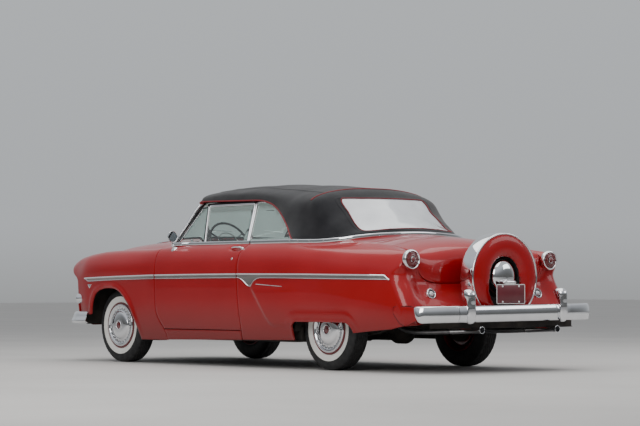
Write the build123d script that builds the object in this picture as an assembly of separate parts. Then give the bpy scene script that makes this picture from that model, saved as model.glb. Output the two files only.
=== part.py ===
from build123d import *
import math
import os

os.makedirs("parts", exist_ok=True)

# Two-door convertible car of the 1950s, fabric roof up, spare wheel on the rear.
# X runs to the car's left, Y to its rear, Z up, in millimetres. The tables below have
# y = 0 near the driver's hips; Y_SHIFT then puts the origin under the middle of the box.

# ---------------------------------------------------------------- driving dimensions
Y_SHIFT = 97.0
WHEELBASE = 2934.0
Y_FRONT_AXLE = -1856.0
Y_REAR_AXLE = Y_FRONT_AXLE + WHEELBASE
TRACK_FRONT = 1473.0
TRACK_REAR = 1422.0
TYRE_R = 333.0
TYRE_W = 170.0
RIM_R = 195.0
HUB_Z = 333.0
KINGPIN_X = 660.0
SKIN = 22.0             # panel thickness, pressing and its inner flange together
GAP = 6.0               # shut line between panels
DOOR_IN_X = 805.0       # inner face of the doors
DOOR_Y0, DOOR_Y1 = -1160.0, 40.0
HOOD_Y1 = -1370.0       # rear edge of the hood
LID_Y0 = 1452.0         # front edge of the trunk lid
SPARE_Z, SPARE_R, SPARE_Y0, SPARE_Y1 = 755.0, 352.0, 2195.0, 2330.0
COLUMN_TILT = 28.0      # steering column above the horizontal
WHEEL_C = (360.0, -820.0, 1060.0)   # steering wheel centre


# ---------------------------------------------------------------- helpers
def wire(pts):
    return Wire.make_polygon([Vector(*p) for p in pts], close=True)


def loft_of(sections):
    """Ruled loft through closed polygons, each a list of (x, y, z)."""
    return Solid.make_loft([wire(s) for s in sections], ruled=True)


def offset_line(pts, t):
    """Open 2-D polyline moved by t to its right-hand side."""
    out = []
    n = len(pts)
    for i in range(n):
        a = pts[max(i - 1, 0)]
        b = pts[i]
        c = pts[min(i + 1, n - 1)]
        d1 = (b[0] - a[0], b[1] - a[1])
        d2 = (c[0] - b[0], c[1] - b[1])
        if i == 0:
            d1 = d2
        if i == n - 1:
            d2 = d1
        l1, l2 = math.hypot(*d1), math.hypot(*d2)
        n1 = (d1[1] / l1, -d1[0] / l1)
        n2 = (d2[1] / l2, -d2[0] / l2)
        m = (n1[0] + n2[0], n1[1] + n2[1])
        k = 2.0 / (m[0] ** 2 + m[1] ** 2)
        out.append((b[0] + t * m[0] * k, b[1] + t * m[1] * k))
    return out


def skin_y(rows, t, side=-1):
    """Panel of thickness t through rows (y, [(x, z), ...]) of outer points."""
    secs = []
    for y, pts in rows:
        inner = offset_line(pts, side * t)
        secs.append([(x, y, z) for x, z in pts] + [(x, y, z) for x, z in reversed(inner)])
    return loft_of(secs)


def full_rows(rows):
    """Half sections, outer edge first and centre last, mirrored into whole ones."""
    out = []
    for y, pts in rows:
        out.append((y, pts + [(-x, z) for x, z in reversed(pts[:-1])]))
    return out


def prism(pts, axis, a, b):
    """Polygon pushed along an axis from a to b. pts are (y, z), (x, z) or (x, y)."""
    place = {"x": lambda p, s: (s, p[0], p[1]), "y": lambda p, s: (p[0], s, p[1]),
             "z": lambda p, s: (p[0], p[1], s)}[axis]
    return loft_of([[place(p, a) for p in pts], [place(p, b) for p in pts]])


def box(x0, x1, y0, y1, z0, z1):
    return Pos((x0 + x1) / 2, (y0 + y1) / 2, (z0 + z1) / 2) * Box(x1 - x0, y1 - y0, z1 - z0)


def rod(p, q, r):
    """Round bar from p to q."""
    p, q = Vector(*p), Vector(*q)
    d = q - p
    return Solid.make_cylinder(r, d.length, Plane(origin=p, z_dir=d))


def pane(bottom, top, d):
    """Sheet between two rows of points, d = its thickness as a vector."""
    secs = []
    for b, t in zip(bottom, top):
        secs.append([b, t, tuple(t[i] + d[i] for i in range(3)), tuple(b[i] + d[i] for i in range(3))])
    return loft_of(secs)


def bar(points, u, v):
    """Bar through points, with a section of half sizes along vectors u and v."""
    secs = []
    for p in points:
        s = []
        for a, b in ((-1, -1), (1, -1), (1, 1), (-1, 1)):
            s.append(tuple(p[i] + a * u[i] + b * v[i] for i in range(3)))
        secs.append(s)
    return loft_of(secs)


def turned(profile, centre, axis_dir):
    """Revolve (radius, along) points about an axis through centre."""
    face = Face(wire([(r, a, 0) for r, a in profile]))
    return Solid.revolve(face, 360, Axis((0, 0, 0), (0, 1, 0))).moved(turn_location(centre, axis_dir))


def turn_location(centre, axis_dir):
    """Location that carries local +Y onto axis_dir."""
    a = Vector(*axis_dir).normalized()
    ref = Vector(0, 0, 1) if abs(a.Z) < 0.9 else Vector(1, 0, 0)
    xd = a.cross(ref).normalized()
    return Plane(origin=centre, x_dir=xd, z_dir=xd.cross(a)).location


def mirror_x(s):
    return s.mirror(Plane.YZ)


def join(*items):
    out = items[0]
    for i in items[1:]:
        out = out + i
    return out


BODY = {}


def add(name, *shapes):
    """Keep the solids of one node, moved into the part's own frame."""
    sol = []
    for s in shapes:
        sol += list(s.solids()) if not isinstance(s, Solid) else [s]
    BODY[name] = Compound(children=[x.moved(Location((0, Y_SHIFT, 0))) for x in sol]) if len(sol) > 1 \
        else sol[0].moved(Location((0, Y_SHIFT, 0)))


# ---------------------------------------------------------------- body side sections
# Each row: y, then six outer points (x, z) from the lower edge up over the shoulder:
# lower edge, 450 level, widest, upper side, crown, inner edge.
FENDER = [
    (-2505, [(838, 560), (850, 620), (862, 740), (842, 840), (762, 892), (612, 880)]),
    (-2420, [(852, 430), (866, 500), (884, 740), (865, 865), (770, 925), (615, 912)]),
    (-2280, [(872, 250), (898, 450), (912, 740), (892, 885), (775, 955), (618, 935)]),
    (-2000, [(882, 225), (915, 450), (926, 740), (908, 895), (782, 976), (618, 950)]),
    (-1600, [(888, 222), (922, 450), (932, 740), (914, 910), (800, 988), (622, 965)]),
    (HOOD_Y1, [(890, 222), (923, 450), (933, 745), (916, 915), (812, 994), (626, 975)]),
    (DOOR_Y0 - GAP, [(890, 222), (924, 450), (934, 750), (918, 925), (858, 1003), (715, 1020)]),
]
DOOR = [
    (DOOR_Y0, [(908, 310), (924, 450), (934, 750), (918, 930), (875, 1003), (815, 1044)]),
    (-600, [(909, 310), (925, 450), (936, 750), (919, 930), (876, 1004), (815, 1046)]),
    (DOOR_Y1, [(909, 310), (925, 450), (936, 750), (919, 930), (876, 1004), (815, 1048)]),
]
QUARTER = [
    (DOOR_Y1 + 8, [(889, 224), (925, 450), (936, 750), (919, 930), (876, 1004), (806, 1050)]),
    (575, [(889, 228), (926, 450), (936, 750), (918, 930), (872, 1002), (808, 1052)]),
    (950, [(892, 300), (927, 450), (935, 750), (912, 925), (850, 1000), (732, 1064)]),
    (1130, [(893, 300), (927, 450), (934, 750), (905, 920), (835, 997), (700, 1066)]),
    (1450, [(894, 310), (925, 450), (926, 750), (886, 915), (805, 988), (700, 1034)]),
    (1750, [(882, 330), (914, 450), (906, 750), (860, 905), (786, 975), (692, 1006)]),
    (1950, [(868, 345), (900, 450), (884, 750), (834, 898), (768, 960), (684, 966)]),
    (2055, [(855, 355), (884, 450), (868, 750), (826, 890), (762, 945), (682, 940)]),
    (2200, [(838, 370), (862, 450), (845, 750), (810, 880), (752, 930), (682, 920)]),
]
FRONT_OPENING = [(-2262, 150), (-2250, 330), (-2235, 400), (-2207, 500), (-2147, 600), (-2060, 665), (-1950, 690),
                 (-1800, 690), (-1730, 655), (-1667, 600), (-1567, 500), (-1507, 400), (-1457, 300), (-1387, 150)]
REAR_OPENING = [(765, 150), (742, 370), (790, 397), (1445, 397), (1505, 365), (1560, 150)]
TAIL_CUT = [(2036, 1100), (2034, 800), (2160, 540), (2215, 300), (2400, 300), (2400, 1100)]

fender = skin_y(FENDER, SKIN, -1) - prism(FRONT_OPENING, "x", 500, 1000)
add("front_fender_left", fender)
add("front_fender_right", mirror_x(fender))

door_secs = []
for y, pts in DOOR:
    bevel = 18 if y == DOOR_Y1 else 0
    door_secs.append([(x, y, z) for x, z in pts] + [(DOOR_IN_X, y - bevel, 1044), (DOOR_IN_X, y - bevel, 310)])
# the rear face leans: its inner edge is 18 mm ahead of its outer edge
door = loft_of([[(x, y, z) for x, y, z in s[:6]] + [(DOOR_IN_X, s[0][1], 1044), (DOOR_IN_X, s[0][1], 310)]
                for s in door_secs])
door = door - prism([(936, DOOR_Y1 + 1), (936, DOOR_Y1), (DOOR_IN_X - 5, DOOR_Y1 - 19), (DOOR_IN_X - 5, DOOR_Y1 + 1)],
                    "z", 250, 1100)
# pocket for the window glass and its lift
door = door - prism([(838, -1090), (868, -1090), (868, -60), (838, -60)], "z", 380, 1000)
add("door_left", door)
add("door_right", mirror_x(door))

quarter = skin_y(QUARTER, SKIN, -1) - prism(REAR_OPENING, "x", 500, 1000) - prism(TAIL_CUT, "x", 500, 1000)
# lock pillar behind the door and trim panel beside the rear seat
quarter_pillar = prism([(912, DOOR_Y1 + 8), (806, DOOR_Y1 - 7), (806, DOOR_Y1 + 60), (912, DOOR_Y1 + 60)], "z", 310, 930)
quarter = join(quarter, quarter_pillar)
add("rear_quarter_left", quarter)
add("rear_quarter_right", mirror_x(quarter))

# ---------------------------------------------------------------- hood, cowl, deck, lid
# Each row: y, then outer points (x, z) from the side edge to the centre line.
HOOD = [
    (-2592, [(520, 858), (330, 900), (160, 922), (0, 930)]),
    (-2500, [(588, 898), (400, 975), (200, 1012), (0, 1020)]),
    (-2200, [(608, 936), (420, 1010), (210, 1053), (0, 1065)]),
    (-1800, [(611, 952), (425, 1030), (215, 1073), (0, 1085)]),
    (HOOD_Y1, [(617, 972), (430, 1048), (215, 1086), (0, 1096)]),
]
COWL = [
    (HOOD_Y1 + GAP, [(617, 972), (430, 1048), (215, 1086), (0, 1096)]),
    (DOOR_Y0 - GAP, [(708, 1018), (470, 1058), (235, 1080), (0, 1088)]),
    (-1075, [(708, 1024), (470, 1056), (235, 1074), (0, 1080)]),
]
DECK = [
    (1120, [(692, 1064), (450, 1098), (220, 1112), (0, 1118)]),
    (LID_Y0 - GAP, [(692, 1034), (450, 1078), (220, 1106), (0, 1114)]),
]
add("hood", skin_y(full_rows(HOOD), SKIN, 1))

cowl_top = skin_y(full_rows(COWL), SKIN, 1)
firewall = prism([(-600, 345), (600, 345), (610, 940), (430, 1015), (215, 1055), (0, 1066),
                  (-215, 1055), (-430, 1015), (-610, 940)], "y", -1420, -1404)
# the firewall's top edge follows the cowl from below; side walls run back to the doors
cowl_tie = box(-560, 560, -1406, -1350, 955, 968)
side_wall = join(box(600, 800, -1420, -1404, 345, 860), box(784, 800, -1404, -1172, 345, 940))
COWL_END = [(-770, -1113), (-650, -1190), (-420, -1256), (0, -1292), (420, -1256), (650, -1190), (770, -1113),
            (770, -1000), (-770, -1000)]
cowl_top = cowl_top - prism(COWL_END, "z", 900, 1200)
add("cowl", join(cowl_top, firewall, cowl_tie, box(-610, 610, -1375, -1350, 930, 962),
                 side_wall, mirror_x(side_wall), box(600, 800, -1420, -1180, 846, 860), box(-800, -600, -1420, -1180, 846, 860)))

TOP_BASE = [(-814, 560), (-818, 600), (-738, 956), (-640, 1134), (-512, 1229), (-256, 1292), (0, 1312),
            (256, 1292), (512, 1229), (640, 1134), (738, 956), (818, 600), (814, 560)]
deck = skin_y(full_rows(DECK), SKIN, -1) - prism(TOP_BASE, "z", 900, 1300)
add("rear_deck_panel", deck)

# Trunk lid: each row x, then (y, z) down the outer face.
LID = [
    (700, [(LID_Y0, 1034), (1700, 1010), (1850, 985), (1945, 955), (2000, 915), (2012, 880)]),
    (600, [(LID_Y0, 1054), (1700, 1030), (1850, 1003), (1948, 965), (2035, 880), (2068, 722)]),
    (350, [(LID_Y0, 1096), (1700, 1066), (1850, 1035), (1950, 990), (2052, 880), (2082, 722)]),
    (0, [(LID_Y0, 1113), (1700, 1084), (1850, 1051), (1952, 1000), (2060, 880), (2090, 722)]),
]


def lid_skin(rows, t):
    secs = []
    for x, pts in rows:
        inner = offset_line(pts, t)
        secs.append([(x, y, z) for y, z in pts] + [(x, y, z) for y, z in reversed(inner)])
    return loft_of(secs)


lid_rows = LID + [(-x, p) for x, p in reversed(LID[:-1])]
lid = lid_skin(lid_rows, SKIN)
# the lid narrows a little towards the lamps
LID_EDGE = [(690, 1440), (683, 1750), (675, 1950), (664, 2060), (664, 2200), (800, 2200), (800, 1440)]
lid = lid - prism(LID_EDGE, "z", 600, 1200) - prism([(-x, y) for x, y in LID_EDGE], "z", 600, 1200)
add("trunk_lid", lid)

# Rear panel under the lid: rows x, then (y, z) down the outer face.
TAILP = [
    (600, [(2060, 714), (2088, 660), (2150, 560), (2176, 500), (2184, 375)]),
    (0, [(2085, 714), (2096, 680), (2152, 560), (2180, 500), (2188, 375)]),
]
tail_mid = [(676, [(2050, 716), (2082, 660), (2148, 560), (2174, 500), (2182, 375)])] + TAILP
tail = lid_skin(tail_mid + [(-x, p) for x, p in reversed(tail_mid[:-1])], SKIN)
corner = lid_skin([(812, [(2024, 792), (2077, 690), (2134, 560), (2148, 500), (2156, 375)]),
                   (760, [(2040, 802), (2080, 690), (2143, 560), (2170, 500), (2178, 375)]),
                   (676, [(2036, 840), (2082, 660), (2148, 560), (2174, 500), (2182, 375)])], SKIN)
tail_panel = join(tail, corner, mirror_x(corner)) - box(-50, 50, 2100, 2230, 405, 460)
for s in (1, -1):
    tail_panel = tail_panel - box(s * 450 - 24, s * 450 + 24, 2100, 2230, 412, 478)
add("tail_panel", tail_panel)

# Splash panel that fills the space between the tail and the rear bumper.
ext = prism([(-845, 2196), (-840, 2290), (-500, 2398), (500, 2398), (840, 2290), (845, 2196)], "z", 470, 486)
skirt = prism([(-845, 2196), (-857, 2196), (-852, 2297), (-500, 2410), (500, 2410), (852, 2297), (857, 2196), (845, 2196),
               (840, 2290), (498, 2398), (-498, 2398), (-840, 2290)], "z", 380, 486)
ARM_SLOTS = [box(s * 450 - 24, s * 450 + 24, 2100, 2430, 412, 478) for s in (1, -1)]
extension = join(ext, skirt) - box(-330, 330, 2190, 2340, 440, 500)
for slot in ARM_SLOTS:
    extension = extension - slot
add("bumper_extension_panel", extension)

# ---------------------------------------------------------------- nose
panel = prism([(-585, 430), (585, 430), (590, 862), (508, 850), (330, 890), (160, 912), (0, 920), (-160, 912),
               (-330, 890), (-508, 850), (-590, 862)], "y", -2560, -2536) \
    - prism([(-520, 500), (520, 500), (545, 560), (545, 660), (490, 730), (-490, 730), (-545, 660), (-545, 560)],
            "y", -2600, -2500)
valance = prism([(-2548, 300), (-2530, 300), (-2536, 430), (-2560, 430)], "x", -585, 585)
nose = join(panel, valance)
for s in (1, -1):
    nose = nose - box(s * 395 - 24, s * 395 + 24, -2580, -2500, 345, 440)
add("grille_panel", nose)

grille = rod((-535, -2590, 612), (535, -2590, 612), 24)
grille = join(grille, turned([(0, -40), (62, -30), (78, 10), (40, 60), (0, 70)], (0, -2592, 612), (0, -1, 0)))
for i in range(9):
    x = -440 + 110 * i
    if abs(x) > 60:
        grille = join(grille, box(x - 7, x + 7, -2586, -2566, 506, 724))
grille = join(grille, box(-500, 500, -2582, -2566, 506, 520), box(-480, 480, -2582, -2566, 712, 724))
add("grille", grille)

lamp = turned([(0, 0), (104, 0), (112, -20), (112, -60), (98, -88), (0, -108)], (712, -2512, 772), (0, 1, 0))
add("headlamps", lamp, mirror_x(lamp))
park = turned([(0, -64), (28, -50), (36, -15), (36, 44), (0, 52)], (772, -2500, 575), (0, 1, 0))
add("parking_lamps", park, mirror_x(park))


# ---------------------------------------------------------------- bumpers
def blade(plan, t, z0, z1):
    """Bar of thickness t whose outer face follows a plan polyline on +X, mirrored."""
    full = plan + [(-x, y) for x, y in reversed(plan)]
    inner = offset_line(full, t)
    return prism(full + list(reversed(inner)), "z", z0, z1)


FRONT_BUMPER = [(932, -2225), (922, -2400), (812, -2570), (560, -2642), (180, -2655)]
REAR_BUMPER = [(925, 2270), (902, 2335), (780, 2392), (480, 2436), (180, 2446)]
fb = blade(FRONT_BUMPER, 22, 345, 465)
for s in (1, -1):
    fb = join(fb, box(s * 400 - 32, s * 400 + 32, -2686, -2640, 300, 560))
PLATE_HOLE_X, PLATE_HOLE_Z, PLATE_HOLE_R = 89.0, 405.0, 4.0
for s in (1, -1):
    fb = fb - rod((s * PLATE_HOLE_X, -2700, PLATE_HOLE_Z), (s * PLATE_HOLE_X, -2600, PLATE_HOLE_Z), PLATE_HOLE_R)
add("front_bumper", fb)
rb = blade([(x, y) for x, y in REAR_BUMPER], -22, 400, 530)
for s in (1, -1):
    g = box(s * 504 - 34, s * 504 + 34, 2428, 2482, 360, 650) - box(s * 504 - 14, s * 504 + 14, 2400, 2500, 545, 632)
    rb = join(rb, g)
rb = join(rb, box(-180, 180, 2440, 2448, 350, 420))
add("rear_bumper", rb)

# ---------------------------------------------------------------- chassis
# Rails by rows: y, x of the outer face, z of the underside.
RAIL = [(-2480, 420, 300), (-2150, 420, 225), (-1480, 420, 215), (-1250, 500, 215), (640, 500, 215),
        (840, 500, 420), (1330, 500, 420), (1600, 500, 405), (2130, 500, 405)]
RAIL_W, RAIL_H = 72.0, 100.0
rail = loft_of([[(x - RAIL_W, y, z), (x, y, z), (x, y, z + RAIL_H), (x - RAIL_W, y, z + RAIL_H)] for y, x, z in RAIL])
frame = join(rail, mirror_x(rail))
# cross members: y0, y1, half width, z0, z1
CROSS = [(-2440, -2405, 380, 310, 360), (-1260, -1190, 440, 222, 262), (-300, -220, 440, 222, 262),
         (520, 590, 440, 225, 290), (1400, 1460, 440, 430, 490), (2060, 2130, 440, 412, 490)]
for y0, y1, w, z0, z1 in CROSS:
    frame = join(frame, box(-w, w, y0, y1, z0, z1))
for s in (1, -1):
    # bumper arms, spring hangers, spare wheel post
    frame = join(frame, bar([(s * 395, -2420, 372), (s * 395, -2617, 405)], (16, 0, 0), (0, 0, 26)))
    frame = join(frame, bar([(s * 450, 2120, 445), (s * 450, 2412, 445)], (16, 0, 0), (0, 0, 22)))
    frame = join(frame, box(min(s * 498, s * 600), max(s * 498, s * 600), 300, 350, 235, 300),
                 box(min(s * 498, s * 600), max(s * 498, s * 600), 1780, 1830, 420, 466))
frame = join(frame, box(-45, 45, 2125, 2215, 412, 452), box(-45, 45, 2203, 2215, 412, 745))
add("chassis_frame", frame)

# ---------------------------------------------------------------- floor, wheel wells
T = 14.0
floor = box(-784, 784, -1172, 620, 336, 336 + T)
toe = loft_of([[(x, -1172, 336), (x, -1172, 350), (x, -1388, 560), (x, -1402, 560), (x, -1402, 540)] for x in (-598, 598)])
tunnel = prism([(-150, 348), (-110, 470), (110, 470), (150, 348), (138, 348), (100, 458), (-100, 458), (-138, 348)],
               "y", -1400, 560)
tunnel = tunnel - box(-400, 400, -1500, -1172, 300, 348)
riser = box(-784, 784, 606, 620, 336, 545) - box(-60, 60, 590, 640, 270, 380)
rear_floor = box(-600, 600, 606, 1500, 531, 545)
trunk_floor = box(-600, 600, 1486, 2060, 531, 545)
sill = join(box(798, 884, -1150, 36, 224, 236), box(872, 884, -1150, 36, 224, 300), box(798, 884, -1150, 36, 290, 302),
            box(784, 800, -1168, 742, 224, 350), box(784, 862, -1350, -1140, 224, 236), box(784, 862, 30, 742, 224, 236))
well_outer = []
R = 392.0
for i in range(9):
    a = math.radians(180 - 22.5 * i)
    well_outer.append((R * math.cos(a), R * math.sin(a)))


def well(x0, x1):
    """Half-drum wheel well, open below and to the outside."""
    cz, cy = HUB_Z - 20, Y_REAR_AXLE + 20
    out = [(cy + R * math.cos(math.radians(180 - 22.5 * i)), cz + R * math.sin(math.radians(180 - 22.5 * i))) for i in range(9)]
    inn = [(cy + (R - T) * math.cos(math.radians(180 - 22.5 * i)), cz + (R - T) * math.sin(math.radians(180 - 22.5 * i))) for i in range(9)]
    drum = prism(out + list(reversed(inn)), "x", x0, x1)
    wall = prism(out, "x", x0, x0 + 12) - box(x0 - 5, x0 + 20, Y_REAR_AXLE - 60, Y_REAR_AXLE + 60, 300, 420)
    return join(drum, wall)


wells = well(600, 862)
floor_all = join(floor, riser, rear_floor, trunk_floor, sill, mirror_x(sill), wells, mirror_x(wells))
shelf = join(box(-600, 600, 1030, 1042, 545, 960))
side_floor = box(600, 846, 1486, 2010, 470, 484)
floor_all = join(floor_all, side_floor, mirror_x(side_floor), box(594, 606, 1486, 2060, 470, 545), box(-606, -594, 1486, 2060, 470, 545),
                 box(600, 784, 606, 730, 336, 350), box(-784, -600, 606, 730, 336, 350))
floor_all = floor_all - box(-150, 150, -1172, 621, 330, 352)
floor_all = join(floor_all, tunnel)
add("floor_pan", floor_all)

# ---------------------------------------------------------------- engine bay
apron = join(box(452, 462, -2380, -1426, 345, 900), box(452, 600, -2380, -1426, 890, 900)) - box(440, 470, -1892, -1820, 465, 520)
add("inner_fenders", apron, mirror_x(apron))
add("engine", join(box(-180, 180, -2080, -1450, 290, 760), box(-300, 300, -2030, -1500, 520, 820),
                   turned([(0, 0), (170, 0), (170, 70), (0, 70)], (0, -1765, 828), (0, 0, 1))))
add("radiator", join(box(-320, 320, -2385, -2330, 380, 840), box(-300, 300, -2380, -2335, 840, 895),
                     box(-440, 440, -2400, -2385, 408, 450), box(-440, 440, -2400, -2385, 850, 888)))
add("fuel_tank", loft_of([[(x, 1570, 350), (x, 1990, 350), (x, 2020, 380), (x, 2020, 500), (x, 1545, 500), (x, 1545, 380)]
                          for x in (-330, 330)]))

# ---------------------------------------------------------------- exhaust
def pipe(pts, r, bend):
    path = FilletPolyline(*[Vector(*p) for p in pts], radius=bend)
    start = path.edges()[0] if hasattr(path, "edges") else path
    w = Wire(path.edges())
    plane = Plane(origin=Vector(*pts[0]), z_dir=Vector(*pts[1]) - Vector(*pts[0]))
    return Solid.sweep(Face(Wire([Edge.make_circle(r, plane)])), w)


ex = []
for s in (1, -1):
    p = pipe([(s * 250, -1400, 290), (s * 250, -1300, 190), (s * 250, 600, 190), (s * 300, 860, 440), (s * 300, 1300, 440),
              (s * 372, 1500, 330), (s * 410, 1800, 318), (s * 410, 2492, 340)], 22.5, 60)
    muffler = rod((s * 250, -150, 190), (s * 250, 380, 190), 62)
    ex.append(join(p, muffler))
add("exhaust_pipes", *ex)

# ---------------------------------------------------------------- axles
axle = rod((-640, Y_REAR_AXLE, HUB_Z), (640, Y_REAR_AXLE, HUB_Z), 38)
axle = join(axle, turned([(0, -120), (60, -110), (130, -40), (130, 40), (60, 110), (0, 120)], (0, Y_REAR_AXLE, HUB_Z), (0, 1, 0)))
for s in (1, -1):
    axle = join(axle, rod((s * 636, Y_REAR_AXLE, HUB_Z), (s * 652, Y_REAR_AXLE, HUB_Z), 125),
                rod((s * 640, Y_REAR_AXLE, HUB_Z), (s * 742, Y_REAR_AXLE, HUB_Z), 19.95))
    leaf = loft_of([[(s * 545, y, z), (s * 595, y, z), (s * 595, y, z + 26), (s * 545, y, z + 26)]
                    for y, z in ((352, 270), (700, 262), (1000, 262), (1150, 262), (1450, 300), (1778, 430))])
    axle = join(axle, leaf, box(s * 570 - 25, s * 570 + 25, Y_REAR_AXLE - 50, Y_REAR_AXLE + 50, 262, 345))
axle = join(axle, rod((0, -1150, 300), (0, Y_REAR_AXLE - 100, HUB_Z), 34))
add("rear_axle", axle)

fs = box(-348, 348, -1905, -1807, 205, 262)
for s in (1, -1):
    fs = join(fs, box(min(s * 340, s * 434), max(s * 340, s * 434), -1905, -1807, 190, 214))
    lower = bar([(s * 420, Y_FRONT_AXLE, 202), (s * KINGPIN_X, Y_FRONT_AXLE, 218)], (0, 30, 0), (0, 0, 10))
    lower = join(lower, rod((s * KINGPIN_X, Y_FRONT_AXLE, 205), (s * KINGPIN_X, Y_FRONT_AXLE, 230), 30))
    tower = box(min(s * 346, s * 446), max(s * 346, s * 446), -1900, -1812, 322, 520)
    upper = bar([(s * 430, Y_FRONT_AXLE, 498), (s * KINGPIN_X, Y_FRONT_AXLE, 486)], (0, 26, 0), (0, 0, 8))
    upper = join(upper, rod((s * KINGPIN_X, Y_FRONT_AXLE, 476), (s * KINGPIN_X, Y_FRONT_AXLE, 494), 24))
    fs = join(fs, lower)
    up = join(tower, upper)
    fs = join(fs, up)
add("front_suspension", fs)

for name, s in (("left", 1), ("right", -1)):
    k = join(rod((s * KINGPIN_X, Y_FRONT_AXLE, 231), (s * KINGPIN_X, Y_FRONT_AXLE, 475), 22),
             rod((s * KINGPIN_X, Y_FRONT_AXLE, HUB_Z), (s * 765, Y_FRONT_AXLE, HUB_Z), 19.95))
    add("knuckle_" + name, k)

# ---------------------------------------------------------------- wheels
# (radius, outboard) points of the rim with its drum and cover, and of the tyre.
RIM = [(20, -45), (138, -45), (140, -5), (60, 8), (62, 20), (182, 22), (182, -72), (190, -78), (205, -80), (205, -74),
       (RIM_R, -70), (RIM_R, 70), (205, 74), (205, 80), (192, 80), (176, 84), (120, 74), (60, 92), (0, 100), (0, 36), (20, 36)]
TYRE = [(RIM_R + 0.5, -69), (214, -76), (264, -TYRE_W / 2), (310, -78), (328, -60), (TYRE_R, -30), (TYRE_R, 30), (328, 60),
        (310, 78), (264, TYRE_W / 2), (214, 76), (RIM_R + 0.5, 69)]
TYRE = [(RIM_R + 0.6, -69), (207, -72), (214, -78)] + TYRE[2:10] + [(214, 78), (207, 72), (RIM_R + 0.6, 69)]
for fr, y, half in (("front", Y_FRONT_AXLE, TRACK_FRONT / 2), ("rear", Y_REAR_AXLE, TRACK_REAR / 2)):
    for name, s in (("left", 1), ("right", -1)):
        add(f"tyre_{fr}_{name}", turned(TYRE, (s * half, y, HUB_Z), (s, 0, 0)))
        add(f"wheel_{fr}_{name}", turned(RIM, (s * half, y, HUB_Z), (s, 0, 0)))

# ---------------------------------------------------------------- spare wheel on the tail
spare = turned([(150, 0), (SPARE_R, 0), (SPARE_R, 128), (SPARE_R - 14, 135), (170, 135), (160, 110), (150, 110)],
               (0, SPARE_Y0, SPARE_Z), (0, 1, 0))
dome = turned([(0, 30), (150.5, 30), (150.5, 60), (140, 90), (110, 128), (60, 148), (0, 152)], (0, SPARE_Y0, SPARE_Z), (0, 1, 0))
spare = join(spare, dome) - box(-60, 60, SPARE_Y0 - 5, 2216, 380, 760)
add("spare_wheel", spare)
add("license_plate", join(box(-153, 153, 2384, 2392, 543, 696), box(-20, 20, 2331, 2384, 600, 640)))

# ---------------------------------------------------------------- lamps at the tail
tl = turned([(0, -5), (78, -5), (78, 4), (70, 16), (40, 40), (0, 48)], (753, 2046, 893), (0, 1, 0))
add("tail_lamps", tl, mirror_x(tl))
rl = turned([(0, 0), (46, 0), (46, 12), (26, 28), (0, 30)], (585, 2122, 627), (0, 0.9, 0.42))
add("reversing_lamps", rl, mirror_x(rl))

# ---------------------------------------------------------------- windshield
WS_B = [(x * s, y, z) for s in (-1,) for x, y, z in ((716, -1102, 1055), (612, -1164, 1068), (400, -1228, 1080), (0, -1268, 1086))]
WS_T = [(x * s, y, z) for s in (-1,) for x, y, z in ((538, -936, 1427), (500, -962, 1433), (370, -1014, 1440), (0, -1060, 1447))]
bottoms = WS_B + [(-x, y, z) for x, y, z in reversed(WS_B[:-1])]
tops = WS_T + [(-x, y, z) for x, y, z in reversed(WS_T[:-1])]
glass = pane([(x, y, z + 31) for x, y, z in bottoms], tops, (0, 6, 0))
add("windshield_glass", glass)
sill_bar = bar([(x * 1.05, y + 2, z + 2) for x, y, z in bottoms], (0, 16, 0), (0, 0, 21))
header = bar([(x * 1.02, y + 4, z + 6.5) for x, y, z in tops], (0, 22, 0), (0, 0, 5.0))
frame_ws = join(sill_bar, header)
for s in (1, -1):
    post = bar([(s * 772, -1082, 1040), (s * 606, -920, 1405)], (20, 0, 0), (0, 22, 0))
    knee = box(min(s * 556, s * 600), max(s * 556, s * 600), -950, -924, 1396, 1431)
    post = join(post, knee)
    frame_ws = join(frame_ws, post)
add("windshield_frame", frame_ws)

# ---------------------------------------------------------------- side glass
# Foot and head points of the door glass and of the fixed quarter window.
dg = pane([(808, -1036, 1050), (808, -600, 1050), (808, 6, 1050)], [(622, -858, 1384), (622, -500, 1386), (622, -120, 1386)], (5, 0, 0))
vent_bar = bar([(810, -603, 1050), (624, -776, 1384)], (6, 0, 0), (0, 9, 0))
door_glass = join(dg, vent_bar)
add("door_glass_left", door_glass)
add("door_glass_right", mirror_x(door_glass))
mir = join(rod((868, -1010, 1020), (905, -1002, 1078), 7),
           turned([(0, -16), (30, -10), (54, 4), (54, 12), (0, 12)], (905, -1000, 1108), (0, 1, 0)))
add("door_mirror", mir)
# quarter window by heights: z, front y, rear y
QZ = [(1056, 18, 548), (1140, -10, 466), (1218, -38, 360), (1312, -72, 194), (1360, -90, 62), (1382, -98, -66)]
qsecs = []
for z, y0, y1 in QZ:
    x = 808 - (z - 1050) * 0.554
    qsecs.append([(x, y0, z), (x, y1, z), (x + 5, y1, z), (x + 5, y0, z)])
quarter_glass = loft_of(qsecs)
add("quarter_windows", quarter_glass, mirror_x(quarter_glass))

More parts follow.
